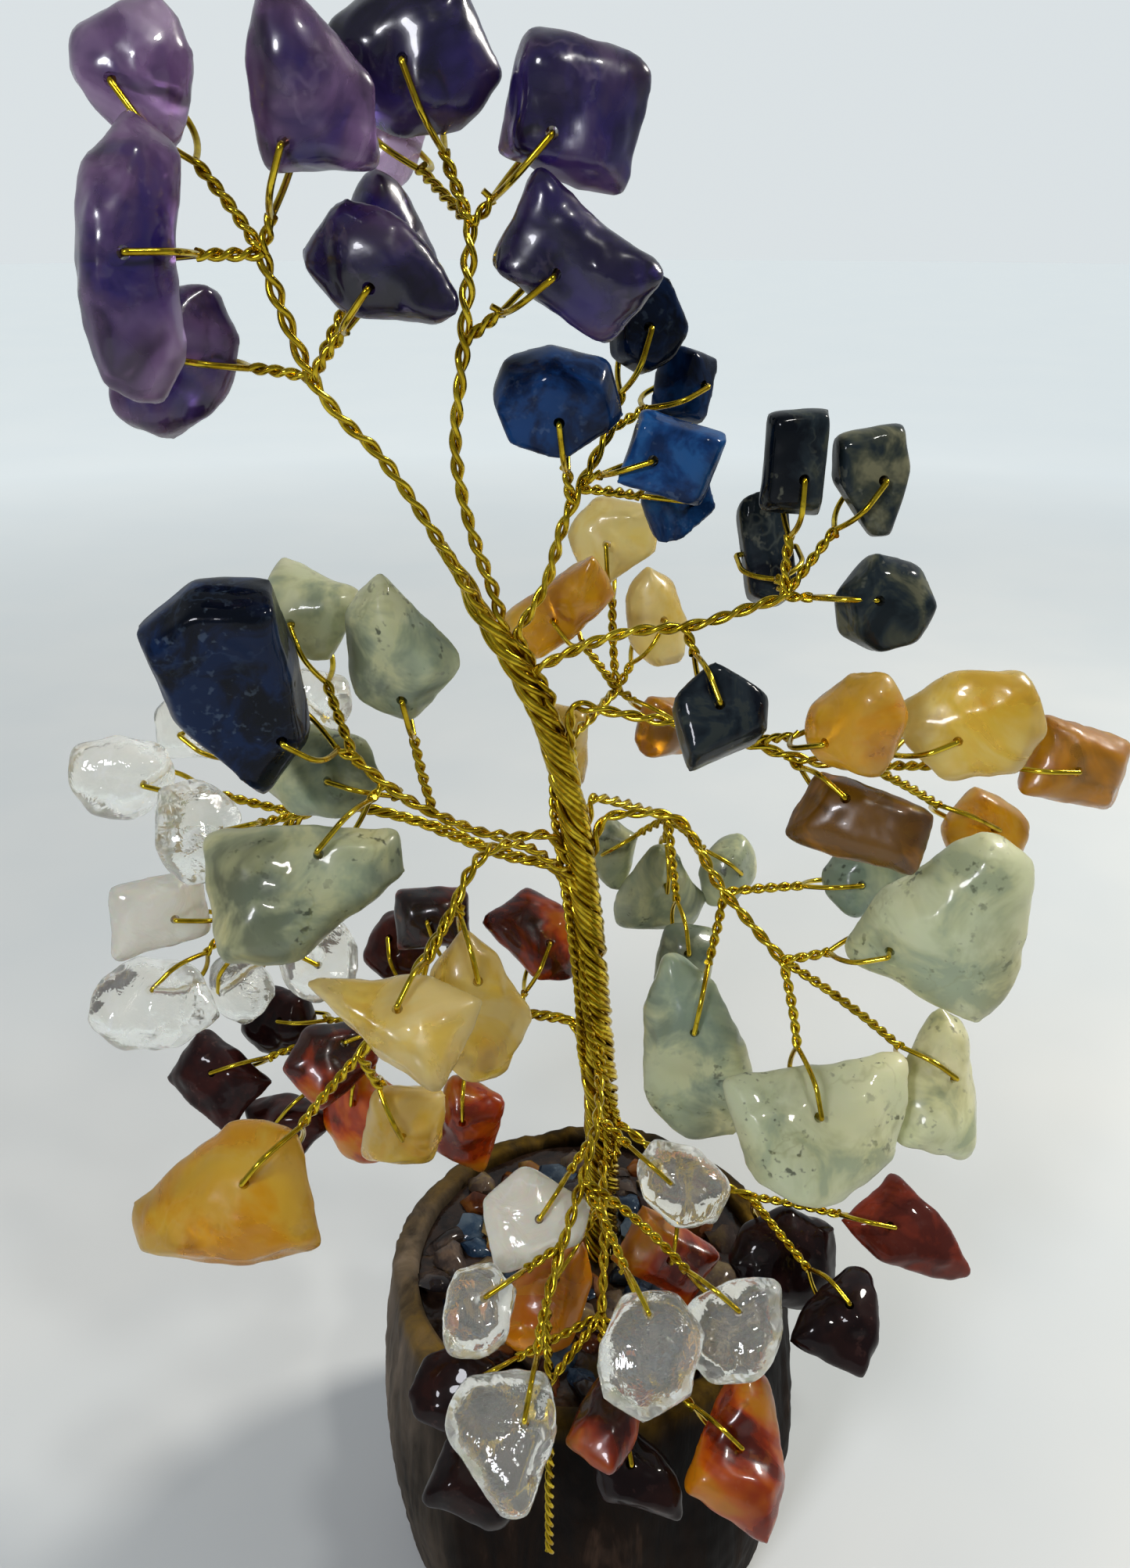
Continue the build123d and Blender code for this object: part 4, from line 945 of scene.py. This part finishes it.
trunkCurve = newWires("trunkWires")
trunkWires(trunkCurve)
for climber in climberPlan["pairs"]:
    pairWires(trunkCurve, climberLine(*climber))
heldStones = []
for number, (name, (share, stemPoints)) in enumerate(branchPlan.items()):
    chance = random.Random(number)
    root = Vector(jointPlace["bend_" + name])
    stem = smoothLine([root] + [treePoint(p) for p in stemPoints])
    rows = stonePlan[name]
    branchCurve = newWires(name)
    stemWires(branchCurve, trunkCurve, forkLine(share, root, stem), stem, [row[6] for row in rows])
    for label, place, size, outline, turn, facing, leaves, tone in rows:
        hub = pointAt(stem, leaves)
        thread = threadStone(place, size, outline, turn, facing, hub)
        twigWires(branchCurve, hub, thread, chance)
        gem = label.split("_")[0]
        node = f"{name}_{gem}" if label == gem else label
        holder, cutter = chipHolder(gem, size, thread, wearTexture, chance)
        heldStones.append((node, name, gem, tone, size, thread, holder, cutter))
    if name == tailPlan["branch"]:
        pairWires(branchCurve, smoothLine([treePoint(p) for p in tailPlan["line"]]))
    finishWires(name + "_twisted", branchCurve, name + "_branch", [name + "_wire"])
finishWires("trunk_twisted", trunkCurve, "root", ["trunk_core", "trunk_strands"])
print("wires wound:", len(branchPlan), "branches")

depsgraph = bpy.context.evaluated_depsgraph_get()
stoneForms = {}
for node, branchName, gem, tone, size, thread, holder, cutter in heldStones:
    mesh = bpy.data.meshes.new_from_object(holder.evaluated_get(depsgraph))
    mark = mesh.attributes.new("stoneTone", "FLOAT", "POINT")
    mark.data.foreach_set("value", edgeTones(mesh, gem, tone, size, thread["stand"]))
    milky = 1 if gem == "quartz" and tone > quartzPlan["milkyFrom"] else 0
    mesh.polygons.foreach_set("material_index", [milky] * len(mesh.polygons))
    form = stoneForms.setdefault(node, {"bm": bmesh.new(), "gem": gem, "branch": branchName})
    form["bm"].from_mesh(mesh)
    bpy.data.meshes.remove(mesh)
for *unused, holder, cutter in heldStones:
    for spent in (holder, cutter):
        mesh = spent.data
        bpy.data.objects.remove(spent)
        bpy.data.meshes.remove(mesh)
for node, form in stoneForms.items():
    body = node if node in frame["bodies"] else form["branch"] + "_branch"
    skins = [clearQuartz, milkyQuartz] if form["gem"] == "quartz" else [gemMaterials[form["gem"]]]
    finishPiece(node + "_tumbled", form["bm"], skins, body, [node])
bpy.data.textures.remove(wearTexture)
print("stones tumbled:", len(heldStones), "in", len(stoneForms), "nodes")


# Log base: a stained barrel of wood with a worn rim

logPlan = {
    "height": 46, "foot": 26, "belly": 28.5, "bellyHeight": 20, "rim": 25.5, "recess": 22.5, "floor": 40,
    "rows": 70, "steps": 240, "edge": 1.2, "barkFrom": 1.0, "barkBlend": 1.5,
    "outerLip": ((0.48, 0.15), (1.2, 0)),                # in from the rim, and down
    "innerLip": ((0.8, 0), (0.15, 0.5), (0, 1.4)),       # out from the recess, and down
    "lump": (0.9, 2.2, 0.05, 0), "groove": (0.5, 13, 0.06, 5), "pit": (0.22, 34, 0.35, 0),
    "rimWave": (1, 5, 0, 9), "rimChip": (0.5, 15, 0, 3),     # relief: depth, steps round and up, start
    "rimLow": 0.4, "rimDepth": 0.7, "rimBand": 3.0, "wornFrom": 0.5, "innerWear": 0.5,
}


def spunProfile(profile, steps):     # a form turned from its half outline
    bm = bmesh.new()
    verts = [bm.verts.new((r, 0, z)) for r, z in profile]
    edges = [bm.edges.new(pair) for pair in zip(verts, verts[1:])]
    bmesh.ops.spin(bm, geom=verts + edges, cent=(0, 0, 0), axis=(0, 0, 1), angle=2 * pi,
                   steps=steps, use_merge=True)
    bmesh.ops.remove_doubles(bm, verts=bm.verts, dist=0.001)
    bmesh.ops.recalc_face_normals(bm, faces=bm.faces)
    return bm


def barrelRadius(height):        # a curve through the foot, the belly and the rim
    plan = logPlan
    radii = {0: plan["foot"], plan["bellyHeight"]: plan["belly"], plan["height"]: plan["rim"]}
    radius = 0
    for z, r in radii.items():
        radius += r * prod((height - other) / (z - other) for other in radii if other != z)
    return radius


def logBase():
    plan = logPlan
    top, rim, recess, floor = (plan[way] for way in ("height", "rim", "recess", "floor"))
    heights = [top * n / plan["rows"] for n in range(1, plan["rows"])]
    profile = [(0, 0), (plan["foot"] - plan["edge"], 0)] + [(barrelRadius(z), z) for z in heights]
    profile += [(rim - back, top - down) for back, down in plan["outerLip"]]
    profile += [(recess + out, top - down) for out, down in plan["innerLip"]]
    bm = spunProfile(profile + [(recess, floor), (0, floor)], plan["steps"])
    wear = bm.verts.layers.float.new("rimWear")
    for vert in bm.verts:
        radius, height = vert.co.xy.length, vert.co.z
        if radius < recess - 0.01 or height < 0.01:      # the recess and the underside stay as they are
            continue
        around = vert.co.xy / radius
        relief = {}
        for way in ("lump", "groove", "pit", "rimWave", "rimChip"):
            depth, stepsRound, stepsUp, start = plan[way]
            spot = (around.x * stepsRound, around.y * stepsRound, height * stepsUp + start)
            relief[way] = noise.noise(spot) * depth
        outside = min(max((radius - recess - plan["barkFrom"]) / plan["barkBlend"], 0), 1)
        vert.co.xy += around * ((relief["lump"] - abs(relief["groove"]) + relief["pit"]) * outside)
        nearTop = max(1 - (top - height) / plan["rimBand"], 0)
        rise = relief["rimWave"] + relief["rimChip"] - plan["rimLow"]
        vert.co.z += rise * plan["rimDepth"] * nearTop
        vert[wear] = nearTop * (1 if radius > recess + plan["wornFrom"] else plan["innerWear"])
    return bm


finishPiece("log_base_stained", logBase(), [barkSkin], "root", ["log_base"], sharpAngle=70)
print("log turned")


# Stone bed: resin with small chips crowded in it

bedPlan = {
    "radius": 22.4, "floor": 40.1, "rings": 14, "steps": 72, "wave": 0.35, "waveStep": 0.3,
    "seed": 31, "chips": 95, "reach": 20.6, "foot": 3.6, "stray": (-0.6, 0.6), "tilt": (-0.5, 0.5),
    "long": (2.0, 3.3), "wide": (1.5, 2.4), "thick": (1.0, 1.5), "sit": (-0.4, 0.5),
    "rough": 0.52, "roughStep": 1.6, "apart": 3.1,
    "share": (("blue", 0.32), ("orange", 0.52), ("grey", 1.0)),
}


def bedSurface():
    plan = bedPlan
    profile = [(plan["radius"] * n / plan["rings"], bedTop) for n in range(plan["rings"] + 1)]
    profile += [(plan["radius"], plan["floor"]), (0, plan["floor"])]
    bm = spunProfile(profile, plan["steps"])
    for vert in bm.verts:
        if vert.co.z > plan["floor"] + 1:          # the top alone
            vert.co.z += noise.noise(vert.co * plan["waveStep"]) * plan["wave"]
    return bm


def bedChips():
    plan = bedPlan
    chance = random.Random(plan["seed"])
    groups = {colour: bmesh.new() for colour, limit in plan["share"]}
    tones = {colour: bm.verts.layers.float.new("stoneTone") for colour, bm in groups.items()}
    foot = Vector(trunkPoints[0]).xy
    turn = pi * (3 - 5 ** 0.5)                     # sunflower steps, so that chips crowd evenly
    for n in range(plan["chips"]):
        reach = plan["reach"] * ((n + 0.5) / plan["chips"]) ** 0.5
        spot = Vector((cos(n * turn), sin(n * turn))) * reach
        spot += Vector(drawEach(chance, plan["stray"], plan["stray"]))
        draw = chance.random()
        colour = [name for name, limit in plan["share"] if draw <= limit][0]
        size = drawEach(chance, plan["long"], plan["wide"], plan["thick"])
        sit = chance.uniform(*plan["sit"])
        turns = drawEach(chance, plan["tilt"], plan["tilt"], (0, 2 * pi))
        if (spot - foot).length < plan["foot"]:
            continue
        bm = groups[colour]
        made = bmesh.ops.create_icosphere(bm, subdivisions=2, radius=1)["verts"]
        tone = chance.random()
        for vert in made:
            bump = noise.noise(vert.co * plan["roughStep"] + Vector((n * plan["apart"], 0, 0)))
            vert.co *= 1 + bump * plan["rough"]
            vert[tones[colour]] = tone
        bmesh.ops.scale(bm, vec=size, verts=made)
        for angle, axis in zip(turns, "YXZ"):
            bmesh.ops.rotate(bm, cent=(0, 0, 0), matrix=Matrix.Rotation(angle, 3, axis), verts=made)
        bmesh.ops.translate(bm, vec=(*spot, bedTop + sit), verts=made)
    return groups


finishPiece("resin_bed_poured", bedSurface(), [resinSkin], "root", ["resin_bed"])
bedGems = {                      # material and slot
    "blue": ("bed_blue", "lapis"), "orange": ("bed_amber", "carnelian"), "grey": ("bed_grey", "bed_grey"),
}
for colour, bm in bedChips().items():
    gem, slot = bedGems[colour]
    node = "bed_chips_" + colour
    finishPiece(node + "_set", bm, [gemMaterials[gem]], "root", [node], sharpAngle=60)
print("bed set")


# Stage, light and camera

stagePlan = {
    "radius": 5.0, "sides": 96, "colours": ("#cdd2d3", "#d8dad8"), "blotch": (9, 3),
    "distant": "#dfe8eb", "distantShare": 0.74, "distantBand": (0.05, 0.85),
    "mirrored": 0.25,                # how much of the pale distance shows in polish and metal
}


def floorPaper():                # far off it shows pale to the eye and in metal and glass, and lights nothing
    plan = stagePlan
    material, tree, shader = newMaterial("floorPaper", Roughness=0.7, Emission_Color=plan["distant"])
    place = objectPlace(tree)
    blotch = rangeNode(tree, noiseNode(tree, place, *plan["blotch"]), *middleNoise)
    reach = addNode(tree, "ShaderNodeVectorMath", {"Vector": place}, operation="LENGTH").outputs["Value"]
    far = rangeNode(tree, reach, *plan["distantBand"], 0, plan["distantShare"])
    setSockets(
        tree, shader, Base_Color=mixColour(tree, blotch, *plan["colours"]),
        Emission_Strength=times(tree, seenDirectly(tree), far))
    return material


def seenDirectly(tree):          # 1 for what the eye, metal and glass see, 0 for light
    path = addNode(tree, "ShaderNodeLightPath").outputs
    mirrored = times(tree, path["Is Glossy Ray"], stagePlan["mirrored"])
    seen = mathNode(tree, "MAXIMUM", path["Is Camera Ray"], path["Is Transmission Ray"])
    return mathNode(tree, "MAXIMUM", seen, mirrored)


def paleFloor():
    bm = bmesh.new()
    bmesh.ops.create_circle(bm, cap_ends=True, segments=stagePlan["sides"], radius=stagePlan["radius"])
    floor = linkedMesh("paleFloor", bm)
    floor.data.materials.append(floorPaper())


lightPlan = {
    "key": {"place": (0.36, 0.14, 0.42), "size": 0.1, "power": 2.1, "colour": "#fffaf2"},
    "front": {"place": (-0.26, -0.42, 0.38), "size": 0.12, "power": 1.6, "colour": "#f6f7ff"},
    "spark": {"place": (0.14, -0.2, 0.5), "size": 0.04, "power": 0.4, "colour": "#fffdf8"},
    "aim": (0, 0, 0.1), "sky": "#eaf1f4",
    "skyLight": (-0.1, 0.7, 0.06, 0.55), "skySeen": (-0.6, 0.7, 0.82, 0.86),     # brighter behind
}


def studioLight(name):
    plan = lightPlan[name]
    lamp = setAll(
        bpy.data.lights.new(name, "AREA"), shape="DISK", size=plan["size"], energy=plan["power"],
        color=hexColour(plan["colour"])[:3])
    aim = Vector(lightPlan["aim"]) - Vector(plan["place"])
    turn = aim.to_track_quat("-Z", "Y").to_euler()
    linkObject(name, lamp, location=plan["place"], rotation_euler=turn)


def softSky():                   # one strength for light, and another for what is seen of it
    world = bpy.data.worlds.new("softSky")
    world.use_nodes = True
    tree = world.node_tree
    depth = axisNode(tree, addNode(tree, "ShaderNodeTexCoord").outputs["Generated"], "Y")
    light = rangeNode(tree, depth, *lightPlan["skyLight"])
    shown = rangeNode(tree, depth, *lightPlan["skySeen"])
    change = times(tree, seenDirectly(tree), mathNode(tree, "SUBTRACT", shown, light))
    strength = mathNode(tree, "ADD", light, change)
    setSockets(tree, tree.nodes["Background"], Color=lightPlan["sky"], Strength=strength)
    scene.world = world


cameraPlan = {
    "place": (-3.1, -119, 171), "down": 25.3, "focalPixels": 1550, "imageHeight": 2005,
    "sensor": 36, "near": 5,
}


def photoCamera():
    plan = cameraPlan
    camera = setAll(
        bpy.data.cameras.new("photoCamera"), sensor_fit="VERTICAL", sensor_height=plan["sensor"],
        lens=plan["focalPixels"] / plan["imageHeight"] * plan["sensor"], clip_start=plan["near"] * mm)
    place = Vector(plan["place"]) * mm
    turn = (radians(90 - plan["down"]), 0, 0)
    scene.camera = linkObject("photoCamera", camera, location=place, rotation_euler=turn)


paleFloor()
for lampName in ("key", "front", "spark"):
    studioLight(lampName)
softSky()
photoCamera()
scene.view_settings.view_transform = "Standard"
print("stage set")
